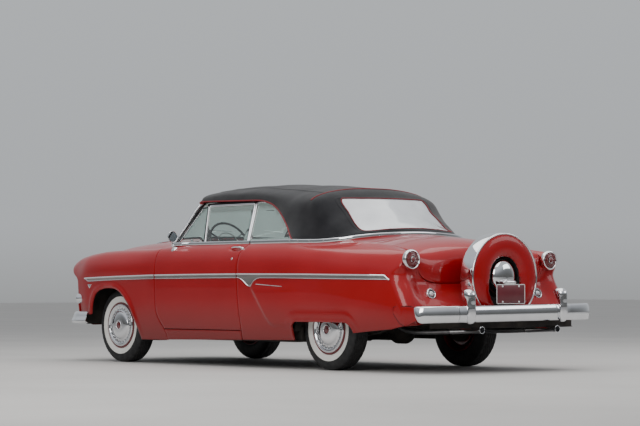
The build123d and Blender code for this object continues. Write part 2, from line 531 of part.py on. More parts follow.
# ---------------------------------------------------------------- fabric roof
# Rows: y, then outer (x, z) from the lower edge to the centre line.
ROOF = [
    (-1080, [(130, 1474), (100, 1480), (66, 1483), (33, 1485), (0, 1486)]),
    (-1020, [(360, 1462), (320, 1474), (240, 1485), (120, 1494), (0, 1498)]),
    (-950, [(540, 1454), (515, 1467), (430, 1482), (220, 1504), (0, 1512)]),
    (-890, [(622, 1408), (608, 1448), (510, 1484), (260, 1516), (0, 1526)]),
    (-600, [(640, 1396), (626, 1444), (545, 1492), (280, 1538), (0, 1555)]),
    (-250, [(646, 1392), (632, 1444), (550, 1498), (285, 1548), (0, 1566)]),
    (-40, [(648, 1390), (634, 1440), (550, 1494), (285, 1542), (0, 1560)]),
    (225, [(682, 1316), (656, 1400), (565, 1470), (285, 1530), (0, 1549)]),
    (390, [(736, 1214), (684, 1350), (575, 1452), (290, 1520), (0, 1539)]),
    (580, [(818, 1066), (716, 1280), (605, 1415), (300, 1502), (0, 1525)]),
    (740, [(784, 1074), (700, 1262), (600, 1385), (300, 1474), (0, 1499)]),
    (950, [(732, 1088), (650, 1186), (460, 1284), (225, 1340), (0, 1360)]),
    (1120, [(636, 1102), (570, 1126), (455, 1160), (225, 1226), (0, 1250)]),
    (1215, [(508, 1116), (465, 1126), (380, 1140), (200, 1178), (0, 1194)]),
    (1290, [(200, 1126), (160, 1132), (110, 1138), (50, 1144), (0, 1146)]),
]
NX = [1.0, 0.9, 0.55, 0.2, 0.0]
NZ = [0.0, 0.45, 0.85, 0.98, 1.0]


def roof_shell(t0, t1):
    """Arch between depths t0 and t1 under the outer surface."""
    secs = []
    for y, pts in ROOF:
        o = [(x - t0 * NX[i], z - t0 * NZ[i]) for i, (x, z) in enumerate(pts)]
        n = [(x - t1 * NX[i], z - t1 * NZ[i]) for i, (x, z) in enumerate(pts)]
        o = o + [(-x, z) for x, z in reversed(o[:-1])]
        n = n + [(-x, z) for x, z in reversed(n[:-1])]
        secs.append([(x, y, z) for x, z in o] + [(x, y, z) for x, z in reversed(n)])
    return loft_of(secs)


def window_block(hx, hy):
    return Pos(0, 995, 1270) * Rot(-36.5, 0, 0) * Box(2 * hx, 2 * hy, 400)


soft = roof_shell(0, 18) - window_block(440, 195)
add("soft_top", soft)
back_glass = roof_shell(6, 11) & window_block(438, 193)
add("rear_window", back_glass)

# ---------------------------------------------------------------- inside
dash_top = prism([(-690, -1112), (-612, -1136), (-400, -1204), (0, -1244), (400, -1204), (612, -1136), (690, -1112),
                  (690, -1000), (-690, -1000)], "z", 1006, 1022)
add("dashboard", join(prism([(-1110, 1006), (-1110, 850), (-1010, 800), (-960, 830), (-955, 980), (-1010, 1036)], "x", -770, 770), dash_top)
    - rod((360, WHEEL_C[1] - 400 * math.cos(math.radians(COLUMN_TILT)), WHEEL_C[2] - 400 * math.sin(math.radians(COLUMN_TILT))),
          (360, WHEEL_C[1], WHEEL_C[2]), 42))
ct, st = math.cos(math.radians(COLUMN_TILT)), math.sin(math.radians(COLUMN_TILT))


def on_column(d):
    return (WHEEL_C[0], WHEEL_C[1] + d * ct, WHEEL_C[2] + d * st)


add("steering_column", rod(on_column(-640), on_column(-62), 28))
sw_axis = (0, ct, st)
sw = turned([(203 + 12 * math.cos(math.radians(a)), 12 * math.sin(math.radians(a))) for a in range(0, 360, 45)], WHEEL_C, sw_axis)
hub = turned([(0, -56), (34, -56), (40, -20), (30, -8), (0, -4)], WHEEL_C, sw_axis)
sw = join(sw, hub)
for a in (90, 210, 330):
    a = math.radians(a)
    up = Vector(0, -st, ct)
    rt = Vector(1, 0, 0)
    d = rt * math.cos(a) - up * math.sin(a)
    c = Vector(*WHEEL_C)
    p0 = c + d * 22 - Vector(*sw_axis) * 22
    p1 = c + d * 203
    sw = join(sw, rod(tuple(p0), tuple(p1), 8))
add("steering_wheel", sw)


def bench(y0, y1, z0, z1, yb0, yb1, zt, w, lean):
    cushion = prism([(y0, z0), (y0 - 10, z1 - 30), (y0 + 30, z1), (y1, z1 - 25), (y1, z0)], "x", -w, w)
    back = prism([(yb0, z0), (yb0 + lean, zt), (yb1 + lean, zt), (yb1, z0)], "x", -w, w)
    return join(cushion, back)


seat_f = join(bench(-620, -110, 430, 600, -135, 20, 985, 690, 60),
              box(-560, -480, -560, -100, 350, 432), box(480, 560, -560, -100, 350, 432))
add("front_seat", seat_f - box(-156, 156, -720, 100, 420, 478))
seat_r = bench(390, 860, 546, 680, 830, 950, 1000, 590, 50)
add("rear_seat", seat_r)

# ---------------------------------------------------------------- write
for name, shape in BODY.items():
    export_step(shape, f"parts/{name}.step")
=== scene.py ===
import math
import bpy
import numpy as np
from mathutils import Matrix, Vector
from mathutils.geometry import delaunay_2d_cdt

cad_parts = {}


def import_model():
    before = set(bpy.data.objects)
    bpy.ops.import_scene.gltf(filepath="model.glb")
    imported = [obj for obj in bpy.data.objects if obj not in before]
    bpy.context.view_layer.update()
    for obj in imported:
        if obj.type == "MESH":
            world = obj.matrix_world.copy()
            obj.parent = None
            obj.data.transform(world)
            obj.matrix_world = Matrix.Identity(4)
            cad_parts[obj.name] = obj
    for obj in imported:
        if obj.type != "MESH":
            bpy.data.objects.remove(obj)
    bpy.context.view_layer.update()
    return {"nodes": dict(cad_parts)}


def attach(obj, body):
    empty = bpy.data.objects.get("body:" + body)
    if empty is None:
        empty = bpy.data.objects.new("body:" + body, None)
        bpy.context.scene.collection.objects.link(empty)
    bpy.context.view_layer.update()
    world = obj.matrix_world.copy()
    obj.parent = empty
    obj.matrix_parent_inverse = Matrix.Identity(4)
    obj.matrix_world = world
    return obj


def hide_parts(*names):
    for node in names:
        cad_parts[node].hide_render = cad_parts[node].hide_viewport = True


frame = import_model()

YS = 97.0          # the tables below are in millimetres with y = 0 near the driver's hips
MM = 0.001


# ================================================================ numbers and curves
def A(x):
    return np.asarray(x, float)


def world(p):
    p = A(p).reshape(-1, 3)
    return np.stack([p[:, 0], p[:, 1] + YS, p[:, 2]], 1) * MM


def spline(knots, vals, t):
    """Natural cubic through vals (n, k) at knots, read at t."""
    k, v, t = A(knots), A(vals), A(t)
    if v.ndim == 1:
        v = v[:, None]
    n = len(k)
    h = np.diff(k)
    m = np.zeros((n, n))
    r = np.zeros((n, v.shape[1]))
    m[0, 0] = m[-1, -1] = 1
    for i in range(1, n - 1):
        m[i, i - 1], m[i, i], m[i, i + 1] = h[i - 1], 2 * (h[i - 1] + h[i]), h[i]
        r[i] = 6 * ((v[i + 1] - v[i]) / h[i] - (v[i] - v[i - 1]) / h[i - 1])
    s = np.linalg.solve(m, r)
    i = np.clip(np.searchsorted(k, t, side="right") - 1, 0, n - 2)
    hh = h[i][:, None]
    a = ((k[i + 1] - t)[:, None]) / hh
    b = 1 - a
    return a * v[i] + b * v[i + 1] + ((a ** 3 - a) * s[i] + (b ** 3 - b) * s[i + 1]) * hh ** 2 / 6


def pchip(k, v, t):
    """Monotone cubic through v (n, m) at k, read at t, straight beyond the ends."""
    k, v, t = A(k), A(v), A(t)
    h = np.diff(k)[:, None]
    d = np.diff(v, axis=0) / h
    g = np.zeros_like(v)
    g[0], g[-1] = d[0], d[-1]
    for i in range(1, len(k) - 1):
        w1, w2 = 2 * h[i] + h[i - 1], h[i] + 2 * h[i - 1]
        ok = d[i - 1] * d[i] > 0
        with np.errstate(divide="ignore", invalid="ignore"):
            g[i] = np.where(ok, (w1 + w2) / (w1 / d[i - 1] + w2 / d[i]), 0)
    i = np.clip(np.searchsorted(k, t, side="right") - 1, 0, len(k) - 2)
    u = ((t - k[i])[:, None]) / h[i]
    uc = np.clip(u, 0, 1)
    out = ((1 + 2 * uc) * (1 - uc) ** 2 * v[i] + uc * (1 - uc) ** 2 * h[i] * g[i]
           + uc ** 2 * (3 - 2 * uc) * v[i + 1] + uc ** 2 * (uc - 1) * h[i] * g[i + 1])
    return out + (u - uc) * h[i] * np.where(u > 1, g[i + 1], g[i])


class Rows:
    """Control points along one direction, smoothed: at(t) gives (len(t), m)."""

    def __init__(self, ks, vals, sigma=45.0, step=5.0, pad=400.0):
        ks, vals = A(ks), A(vals).reshape(len(ks), -1)
        self.t = np.arange(ks[0] - pad, ks[-1] + pad + step, step)
        raw = pchip(ks, vals, self.t)
        r = int(3 * sigma / step)
        if r > 0:
            w = np.exp(-0.5 * (np.arange(-r, r + 1) * step / sigma) ** 2)
            w /= w.sum()
            first = raw[:1] + (raw[:1] - raw[1:2]) * np.arange(r, 0, -1)[:, None]
            last = raw[-1:] + (raw[-1:] - raw[-2:-1]) * np.arange(1, r + 1)[:, None]
            full = np.vstack([first, raw, last])
            raw = np.stack([np.convolve(full[:, j], w, mode="valid") for j in range(raw.shape[1])], 1)
        self.v = raw

    def at(self, t):
        t = A(t)
        return np.stack([np.interp(t, self.t, self.v[:, j]) for j in range(self.v.shape[1])], -1)


def smooth(a, b, x):
    t = np.clip((A(x) - a) / (b - a), 0, 1)
    return t * t * (3 - 2 * t)


def resample(pts, step):
    """Polyline with points every step or so."""
    p = A(pts)
    out = [p[0]]
    for a, b in zip(p[:-1], p[1:]):
        n = max(1, int(round(np.linalg.norm(b - a) / step)))
        for i in range(1, n + 1):
            out.append(a + (b - a) * i / n)
    return A(out)


def rounded(pts, r, closed=False, n=6):
    """Polyline with its corners rounded; r is one number or one for each point."""
    p = [A(q) for q in pts]
    m = len(p)
    rr = [r] * m if np.isscalar(r) else list(r)
    out = []
    for i in range(m):
        if not closed and i in (0, m - 1):
            out.append(p[i])
            continue
        a, b, c = p[i - 1], p[i], p[(i + 1) % m]
        la, lc = np.linalg.norm(a - b), np.linalg.norm(c - b)
        if rr[i] <= 0 or la < 1e-9 or lc < 1e-9:
            out.append(b)
            continue
        d = min(rr[i], 0.48 * la, 0.48 * lc)
        s, e = b + (a - b) / la * d, b + (c - b) / lc * d
        for j in range(n + 1):
            t = j / n
            out.append((1 - t) ** 2 * s + 2 * t * (1 - t) * b + t * t * e)
    return A(out)


def through(pts, step=8.0, closed=False):
    """Smooth curve through points, in 2-D or 3-D, with points every step or so."""
    p = A(pts)
    if closed:
        k = 3
        p = np.vstack([p[-k:], p, p[:k + 1]])
    d = np.r_[0, np.cumsum(np.sqrt(np.linalg.norm(np.diff(p, axis=0), axis=1)))]
    length = np.linalg.norm(np.diff(p, axis=0), axis=1).sum()
    t = np.linspace(d[0], d[-1], max(8, int(length / step)))
    if closed:
        t = t[(t >= d[k] - 1e-9) & (t < d[-1 - 0 - (k + 1) + (k + 1 - k)] - 1e-9)]
        t = np.linspace(d[k], d[len(p) - 1 - k], max(8, int(length / step * (len(pts) / len(p)))), endpoint=False)
    return spline(d, p, t)


# ================================================================ materials
def node(nt, kind, **vals):
    n = nt.nodes.new(kind)
    for k, v in vals.items():
        if hasattr(n, k):
            setattr(n, k, v)
    return n


def material(name, base, rough=0.5, metal=0.0, vary=0.12, scale=6.0, rough_vary=0.06, bump=0.0, bump_scale=200.0,
             coat=0.0, coat_rough=0.03, sheen=0.0, transmission=0.0, ior=1.45, alpha=1.0, second=None, detail=4.0,
             stretch=(1, 1, 1), low=None, ground_shade_z=0.5, ground_shade_h=0.35, spec=0.5, emission=None, weave=0.0, weave_scale=900.0,
             wave=None):
    """Principled material whose colour, gloss and relief come from noise in the object's own space; a low colour paints
    shade in below a height.
    """
    m = bpy.data.materials.new(name)
    m.use_nodes = True
    nt = m.node_tree
    b = nt.nodes["Principled BSDF"]
    tc = node(nt, "ShaderNodeTexCoord")
    mp = node(nt, "ShaderNodeMapping")
    mp.inputs["Scale"].default_value = stretch
    nt.links.new(tc.outputs["Object"], mp.inputs["Vector"])
    nz = node(nt, "ShaderNodeTexNoise")
    nz.inputs["Scale"].default_value = scale
    nz.inputs["Detail"].default_value = detail
    nt.links.new(mp.outputs["Vector"], nz.inputs["Vector"])
    ramp = node(nt, "ShaderNodeValToRGB")
    c0 = A(base) * (1 - vary)
    c1 = A(second) if second is not None else np.minimum(A(base) * (1 + vary) + 0.004, 1)
    ramp.color_ramp.elements[0].position = 0.3
    ramp.color_ramp.elements[1].position = 0.7
    ramp.color_ramp.elements[0].color = (*c0, 1)
    ramp.color_ramp.elements[1].color = (*c1, 1)
    nt.links.new(nz.outputs["Fac"], ramp.inputs["Fac"])
    colour = ramp.outputs["Color"]
    # painted shade: below a height the colour runs into the darker low colour, standing in for the shade and ground
    # reflection on the lower body
    if low is not None:
        geo = node(nt, "ShaderNodeSeparateXYZ")
        nt.links.new(tc.outputs["Object"], geo.inputs["Vector"])
        mr = node(nt, "ShaderNodeMapRange")
        mr.inputs["From Min"].default_value = ground_shade_z
        mr.inputs["From Max"].default_value = ground_shade_z + ground_shade_h
        nt.links.new(geo.outputs["Z"], mr.inputs["Value"])
        mix = node(nt, "ShaderNodeMix", data_type="RGBA")
        mix.inputs["A"].default_value = (*low, 1)
        nt.links.new(mr.outputs["Result"], mix.inputs["Factor"])
        nt.links.new(colour, mix.inputs["B"])
        colour = mix.outputs["Result"]
    if weave > 0:
        wv = node(nt, "ShaderNodeTexChecker")
        wv.inputs["Scale"].default_value = weave_scale
        wv.inputs["Color1"].default_value = (0.82, 0.82, 0.82, 1)
        wv.inputs["Color2"].default_value = (1, 1, 1, 1)
        nt.links.new(tc.outputs["Object"], wv.inputs["Vector"])
        mix = node(nt, "ShaderNodeMix", data_type="RGBA", blend_type="MULTIPLY")
        mix.inputs["Factor"].default_value = weave
        nt.links.new(colour, mix.inputs["A"])
        nt.links.new(wv.outputs["Color"], mix.inputs["B"])
        colour = mix.outputs["Result"]
    nt.links.new(colour, b.inputs["Base Color"])
    if rough_vary > 0:
        nr = node(nt, "ShaderNodeTexNoise")
        nr.inputs["Scale"].default_value = scale * 3.1
        nr.inputs["Detail"].default_value = 3
        nt.links.new(mp.outputs["Vector"], nr.inputs["Vector"])
        mr = node(nt, "ShaderNodeMapRange")
        mr.inputs["To Min"].default_value = max(0.0, rough - rough_vary)
        mr.inputs["To Max"].default_value = min(1.0, rough + rough_vary)
        nt.links.new(nr.outputs["Fac"], mr.inputs["Value"])
        nt.links.new(mr.outputs["Result"], b.inputs["Roughness"])
    else:
        b.inputs["Roughness"].default_value = rough
    if bump > 0:
        nb = node(nt, "ShaderNodeTexNoise")
        nb.inputs["Scale"].default_value = bump_scale
        nb.inputs["Detail"].default_value = 3
        nt.links.new(mp.outputs["Vector"], nb.inputs["Vector"])
        bp = node(nt, "ShaderNodeBump")
        bp.inputs["Strength"].default_value = min(1.0, bump)
        bp.inputs["Distance"].default_value = 0.001
        nt.links.new(nb.outputs["Fac"], bp.inputs["Height"])
        nt.links.new(bp.outputs["Normal"], b.inputs["Normal"])
    b.inputs["Metallic"].default_value = metal
    b.inputs["Coat Weight"].default_value = coat
    b.inputs["Coat Roughness"].default_value = coat_rough
    b.inputs["Sheen Weight"].default_value = sheen
    b.inputs["Transmission Weight"].default_value = transmission
    b.inputs["IOR"].default_value = ior
    b.inputs["Alpha"].default_value = alpha
    b.inputs["Specular IOR Level"].default_value = spec
    return m


M = {}
# body paint with painted shade: darker red towards the bottom, for the ground reflected on the lower body
M["paint"] = material("body_paint", (0.33, 0.0018, 0.0045), 0.30, vary=0.05, scale=2.2, rough_vary=0.03, coat=0.55,
                      coat_rough=0.025, bump=0.02, bump_scale=120, low=(0.20, 0.004, 0.004), ground_shade_z=0.26, ground_shade_h=0.30, spec=0.22)
M["paint_in"] = material("inner_paint", (0.24, 0.012, 0.016), 0.45, vary=0.15, scale=8)
M["chrome"] = material("chrome", (0.80, 0.81, 0.83), 0.055, metal=1.0, vary=0.04, scale=9, rough_vary=0.03)
M["chrome_soft"] = material("brushed_trim", (0.46, 0.43, 0.41), 0.30, metal=1.0, vary=0.1, scale=30, rough_vary=0.08,
                            stretch=(1, 0.05, 1))
M["steel"] = material("steel", (0.35, 0.35, 0.36), 0.4, metal=1.0, vary=0.15, scale=14, rough_vary=0.12)
M["black_metal"] = material("black_metal", (0.018, 0.018, 0.019), 0.55, vary=0.3, scale=12, rough_vary=0.12, bump=0.2)
M["under"] = material("underbody", (0.022, 0.021, 0.02), 0.8, vary=0.4, scale=10, rough_vary=0.1, bump=0.4, bump_scale=90,
                      second=(0.05, 0.043, 0.036))
M["rubber"] = material("tyre_rubber", (0.014, 0.014, 0.015), 0.62, vary=0.3, scale=25, rough_vary=0.1, bump=0.25,
                       bump_scale=160, second=(0.028, 0.028, 0.029))
M["seal"] = material("seal_rubber", (0.008, 0.008, 0.009), 0.5, vary=0.3, scale=30)
M["white"] = material("whitewall", (0.78, 0.765, 0.72), 0.5, vary=0.05, scale=14, rough_vary=0.08, bump=0.12,
                      bump_scale=140, second=(0.83, 0.82, 0.78))
M["rim_red"] = material("rim_paint", (0.13, 0.002, 0.006), 0.3, vary=0.1, scale=12, coat=0.6)
M["roof"] = material("roof_cloth", (0.0085, 0.009, 0.0125), 0.92, spec=0.15, vary=0.25, scale=5, rough_vary=0.05, bump=0.35,
                     bump_scale=900, sheen=0.25, second=(0.022, 0.023, 0.026), weave=0.8, weave_scale=520)
M["lining"] = material("headlining", (0.42, 0.38, 0.31), 0.9, vary=0.1, scale=8, bump=0.2, bump_scale=600)
M["piping"] = material("piping", (0.20, 0.006, 0.012), 0.5, vary=0.1, scale=30, bump=0.2, bump_scale=900)
M["red_lens"] = material("red_lens", (0.13, 0.001, 0.004), 0.12, vary=0.15, scale=20, coat=1.0, rough_vary=0.05)
M["clear_lens"] = material("clear_lens", (0.72, 0.74, 0.76), 0.08, vary=0.06, scale=40, coat=1.0, metal=0.25)
M["amber"] = material("amber_lens", (0.75, 0.62, 0.45), 0.12, vary=0.08, scale=40, coat=1.0)
M["glass"] = material("side_glass", (0.74, 0.84, 0.80), 0.02, vary=0.04, scale=3, rough_vary=0.01, transmission=1.0, ior=1.45)
M["sheet"] = material("rear_sheet", (0.86, 0.89, 0.94), 0.16, vary=0.08, scale=5, rough_vary=0.05, transmission=0.35,
                      coat=0.8, bump=0.1, bump_scale=14)
M["seat"] = material("upholstery", (0.30, 0.022, 0.026), 0.5, vary=0.12, scale=10, bump=0.3, bump_scale=420, spec=0.4)
M["seat_light"] = material("upholstery_light", (0.58, 0.53, 0.44), 0.55, vary=0.08, scale=10, bump=0.3, bump_scale=420)
M["carpet"] = material("carpet", (0.10, 0.014, 0.016), 0.95, vary=0.35, scale=60, bump=0.8, bump_scale=500)
M["black"] = material("black_plastic", (0.012, 0.012, 0.013), 0.28, vary=0.25, scale=18, rough_vary=0.06, coat=0.4)
M["dash"] = material("dash_paint", (0.26, 0.012, 0.018), 0.3, vary=0.08, scale=6, coat=0.7)
M["plate"] = material("plate_field", (0.12, 0.010, 0.018), 0.35, vary=0.1, scale=12, coat=0.4)
M["plate_rim"] = material("plate_edge", (0.70, 0.70, 0.70), 0.35, vary=0.06, scale=20)
M["engine"] = material("engine_iron", (0.05, 0.05, 0.052), 0.6, metal=0.4, vary=0.3, scale=14, bump=0.4, bump_scale=120)
M["engine_red"] = material("engine_paint", (0.30, 0.03, 0.02), 0.45, vary=0.15, scale=10, bump=0.2)
M["mirror"] = material("mirror_glass", (0.75, 0.79, 0.82), 0.02, metal=1.0, vary=0.02, rough_vary=0.01)
M["slot_dark"] = material("slot_shadow", (0.012, 0.012, 0.014), 0.7, vary=0.3, scale=40)


# ================================================================ mesh building
PIECES = []


def solid(name, verts, faces, mat, body="body", replaces=(), slot="body_paint", angle=35, mats=None, idx=None):
    """Mesh piece from points in table millimetres; mats/idx give several materials."""
    me = bpy.data.meshes.new(name)
    me.from_pydata([tuple(v) for v in world(verts)], [], [tuple(int(i) for i in f) for f in faces])
    me.validate()
    ob = bpy.data.objects.new(name, me)
    bpy.context.scene.collection.objects.link(ob)
    for m in (mats or [mat]):
        me.materials.append(M[m] if isinstance(m, str) else m)
    if idx is not None and len(me.polygons) == len(idx):
        me.polygons.foreach_set("material_index", A(idx).astype(np.int32))
    me.shade_smooth()
    if angle is not None:
        me.set_sharp_from_angle(angle=math.radians(angle))
    me.update()
    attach(ob, body)
    if replaces:
        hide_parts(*replaces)
    PIECES.append(ob)
    return ob


def flip_x(v):
    v = A(v).copy()
    v[:, 0] *= -1
    return v


def turn_faces(f):
    return [tuple(reversed(q)) for q in f]


def both(name, verts, faces, mat, bodies=("body", "body"), replaces=((), ()), **kw):
    """The piece and its mirror image on the other side."""
    return [solid(name + "_left", verts, faces, mat, bodies[0], replaces[0], **kw),
            solid(name + "_right", flip_x(verts), turn_faces(faces), mat, bodies[1], replaces[1], **kw)]


def merge(*parts):
    """Several (verts, faces) as one."""
    vs, fs, n = [], [], 0
    for v, f in parts:
        v = A(v).reshape(-1, 3)
        vs.append(v)
        fs += [tuple(i + n for i in q) for q in f]
        n += len(v)
    return np.vstack(vs), fs


def grid_faces(nu, nv, wrap_u=False, wrap_v=False, flip=False):
    f = []
    for i in range(nu if wrap_u else nu - 1):
        for j in range(nv if wrap_v else nv - 1):
            a, b = i * nv + j, ((i + 1) % nu) * nv + j
            c, d = ((i + 1) % nu) * nv + (j + 1) % nv, i * nv + (j + 1) % nv
            f.append((a, d, c, b) if flip else (a, b, c, d))
    return f


def revolve(profile, centre, axis, n=96, closed=False):
    """Turns (radius, along) points about an axis through centre."""
    c, a = A(centre), A(axis) / np.linalg.norm(axis)
    ref = A((0, 0, 1)) if abs(a[2]) < 0.9 else A((1, 0, 0))
    u = np.cross(ref, a)
    u /= np.linalg.norm(u)
    w = np.cross(a, u)
    pr = A(profile)
    th = np.arange(n) / n * 2 * math.pi
    v = []
    for t in th:
        d = u * math.cos(t) + w * math.sin(t)
        v.append(c + pr[:, :1] * d + pr[:, 1:2] * a)
    return np.vstack(v), grid_faces(n, len(pr), wrap_u=True, wrap_v=closed)


def frames(path, hint, closed=False):
    """Tangent, side and up at each point of a path; hint is the up wanted, one or one each."""
    p = A(path)
    if closed:
        t = np.roll(p, -1, 0) - np.roll(p, 1, 0)
    else:
        t = np.gradient(p, axis=0)
    t /= np.maximum(np.linalg.norm(t, axis=1, keepdims=True), 1e-9)
    h = np.broadcast_to(A(hint), p.shape)
    s = np.cross(t, h)
    s /= np.maximum(np.linalg.norm(s, axis=1, keepdims=True), 1e-9)
    u = np.cross(s, t)
    return t, s, u


def sweep(path, section, hint=(0, 0, 1), closed=False, cap=True, scale=None):
    """Section (side, up) points, closed, carried along a path."""
    p, sec = A(path), A(section)
    t, s, u = frames(p, hint, closed)
    k = np.ones(len(p)) if scale is None else A(scale)
    v = np.vstack([p[i] + k[i] * (sec[:, :1] * s[i] + sec[:, 1:2] * u[i]) for i in range(len(p))])
    f = grid_faces(len(p), len(sec), wrap_u=closed, wrap_v=True)
    if cap and not closed:
        m = len(sec)
        f.append(tuple(range(m)))
        f.append(tuple(reversed(range((len(p) - 1) * m, len(p) * m))))
    return v, f


def ring(n, rx, ry=None, p=2.0, phase=0.0):
    """Section of n points: an ellipse, or with p above 2 a rounded box."""
    ry = rx if ry is None else ry
    out = []
    for i in range(n):
        a = 2 * math.pi * i / n + phase
        c, s = math.cos(a), math.sin(a)
        out.append((rx * math.copysign(abs(c) ** (2 / p), c), ry * math.copysign(abs(s) ** (2 / p), s)))
    return out


def tube(name, path, rx, ry=None, mat="chrome", p=2.0, n=12, hint=(0, 0, 1), closed=False, body="body", slot="chrome", cap=True, **kw):
    v, f = sweep(path, ring(n, rx, ry, p), hint, closed, cap)
    return solid(name, v, f, mat, body, slot=slot, angle=50, **kw)


def triangulate(outline, holes, inner):
    """Triangles inside an outline, less holes, with extra points inside."""
    pts, edges = [], []
    for loop in [outline] + list(holes):
        n0 = len(pts)
        pts += [Vector((float(a), float(b))) for a, b in loop]
        edges += [(n0 + i, n0 + (i + 1) % len(loop)) for i in range(len(loop))]
    pts += [Vector((float(a), float(b))) for a, b in inner]
    r = delaunay_2d_cdt(pts, edges, [], 1, 1e-4)
    uv, tris = A([tuple(q) for q in r[0]]), [tuple(f) for f in r[2]]
    if len(holes):
        mid = uv[A(tris).astype(int)].mean(1)
        out = np.zeros(len(tris), bool)
        for h in holes:
            out |= inside(h, mid)
        tris = [t for t, o in zip(tris, out) if not o]
    return uv, tris


def inside(poly, pts):
    """Which pts lie inside a polygon."""
    p, q = A(poly), A(pts)
    c = np.zeros(len(q), bool)
    x, y = q[:, 0], q[:, 1]
    for (x0, y0), (x1, y1) in zip(p, np.roll(p, -1, 0)):
        hit = ((y0 > y) != (y1 > y)) & (x < (x1 - x0) * (y - y0) / ((y1 - y0) if y1 != y0 else 1e-12) + x0)
        c ^= hit
    return c


def edge_distance(loop, pts):
    """Distance from each point to a closed polyline."""
    p, q = A(loop), A(pts)
    best = np.full(len(q), 1e9)
    for a, b in zip(p, np.roll(p, -1, 0)):
        d = b - a
        t = np.clip(((q - a) @ d) / max(d @ d, 1e-12), 0, 1)
        best = np.minimum(best, np.linalg.norm(q - (a + t[:, None] * d), axis=1))
    return best


def line_distance(line, pts):
    """Distance to an open polyline, and the side it lies on."""
    p, q = A(line), A(pts)
    best, side = np.full(len(q), 1e9), np.zeros(len(q))
    for a, b in zip(p[:-1], p[1:]):
        d = b - a
        t = np.clip(((q - a) @ d) / max(d @ d, 1e-12), 0, 1)
        e = q - (a + t[:, None] * d)
        l = np.linalg.norm(e, axis=1)
        s = d[0] * e[:, 1] - d[1] * e[:, 0]
        near = l < best
        best = np.where(near, l, best)
        side = np.where(near, np.sign(s), side)
    return best, side


def panel(surface, outline, holes=(), du=18.0, dv=18.0, depth=16.0, hem=2.2, lines_u=None, lines_v=None, back=True, grow=0.0):
    """Curved sheet metal: surface(uv) -> points, normals; its edge is rolled over and it has thickness."""
    o = A(outline)
    lo, hi = o.min(0), o.max(0)
    us = np.arange(lo[0] + du / 2, hi[0], du) if lines_u is None else A(lines_u)
    vs = np.arange(lo[1] + dv / 2, hi[1], dv) if lines_v is None else A(lines_v)
    gu, gv = np.meshgrid(us, vs, indexing="ij")
    q = np.stack([gu.ravel(), gv.ravel()], 1)
    keep = inside(o, q) & (edge_distance(o, q) > 0.42 * min(du, dv))
    for h in holes:
        keep &= ~inside(h, q) & (edge_distance(h, q) > 0.42 * min(du, dv))
    uv, tris = triangulate(o, holes, q[keep])
    p, n = surface(uv)
    dp = np.asarray(depth(p), float)[:, None] if callable(depth) else np.full((len(p), 1), float(depth))
    # all triangles face along the surface's normals
    t = A(tris).astype(int)
    fn = np.cross(p[t[:, 1]] - p[t[:, 0]], p[t[:, 2]] - p[t[:, 0]])
    wrong = (fn * n[t[:, 0]]).sum(1) < 0
    t[wrong] = t[wrong][:, ::-1]
    count = {}
    for a, b, c in t:
        for e in ((a, b), (b, c), (c, a)):
            count[e] = 1
    rim = [e for e in count if (e[1], e[0]) not in count]
    nxt = {a: b for a, b in rim}
    prv = {b: a for a, b in rim}
    bi = A(sorted(nxt)).astype(int)
    pos = {int(b): i for i, b in enumerate(bi)}
    tan = A([p[nxt[int(b)]] - p[prv.get(int(b), int(b))] for b in bi])
    tan /= np.maximum(np.linalg.norm(tan, axis=1, keepdims=True), 1e-9)
    out = np.cross(tan, n[bi])
    nb = n[bi]
    if callable(hem):
        hem = hem(p[bi])[:, None]
    # a butted edge (hem under half a millimetre) drops straight down so that it does not shade the skin
    butt = np.broadcast_to(A(hem) < 0.5, (len(bi), 1))
    rings = [p[bi] + np.where(butt, -nb * 1.2, out * hem * 0.72 - nb * hem * 0.29),
             p[bi] + np.where(butt, -nb * 2.4, out * hem - nb * hem), p[bi] + out * hem * ~butt - nb * dp[bi]]
    base = len(p)
    verts = [p] + rings
    faces = [tuple(x) for x in t]
    m = len(bi)
    for k in range(3):
        for b in bi:
            b = int(b)
            c = nxt[b]
            i, j = pos[b], pos.get(int(c))
            if j is None:
                continue
            if k == 0:
                faces.append((b, base + i, base + j, int(c)))
            else:
                o0 = base + (k - 1) * m
                faces.append((o0 + i, o0 + m + i, o0 + m + j, o0 + j))
    if back:
        inner = p - n * dp
        verts.append(inner)
        b2 = base + 3 * m
        faces += [(b2 + c, b2 + b, b2 + a) for a, b, c in t]
        for b in bi:
            b = int(b)
            c = int(nxt[b])
            i, j = pos[b], pos.get(c)
            if j is None:
                continue
            faces.append((base + 2 * m + i, b2 + b, b2 + c, base + 2 * m + j))
    return np.vstack(verts), faces


def with_normals(fn, h=1.0, flip=False):
    """surface(uv) -> points and normals from a plain points function."""
    def surface(uv):
        uv = A(uv)
        e0, e1 = A((h, 0)), A((0, h))
        p = fn(uv)
        du, dv = fn(uv + e0) - fn(uv - e0), fn(uv + e1) - fn(uv - e1)
        n = np.cross(du, dv)
        n /= np.maximum(np.linalg.norm(n, axis=1, keepdims=True), 1e-9)
        return p, (-n if flip else n)
    return surface


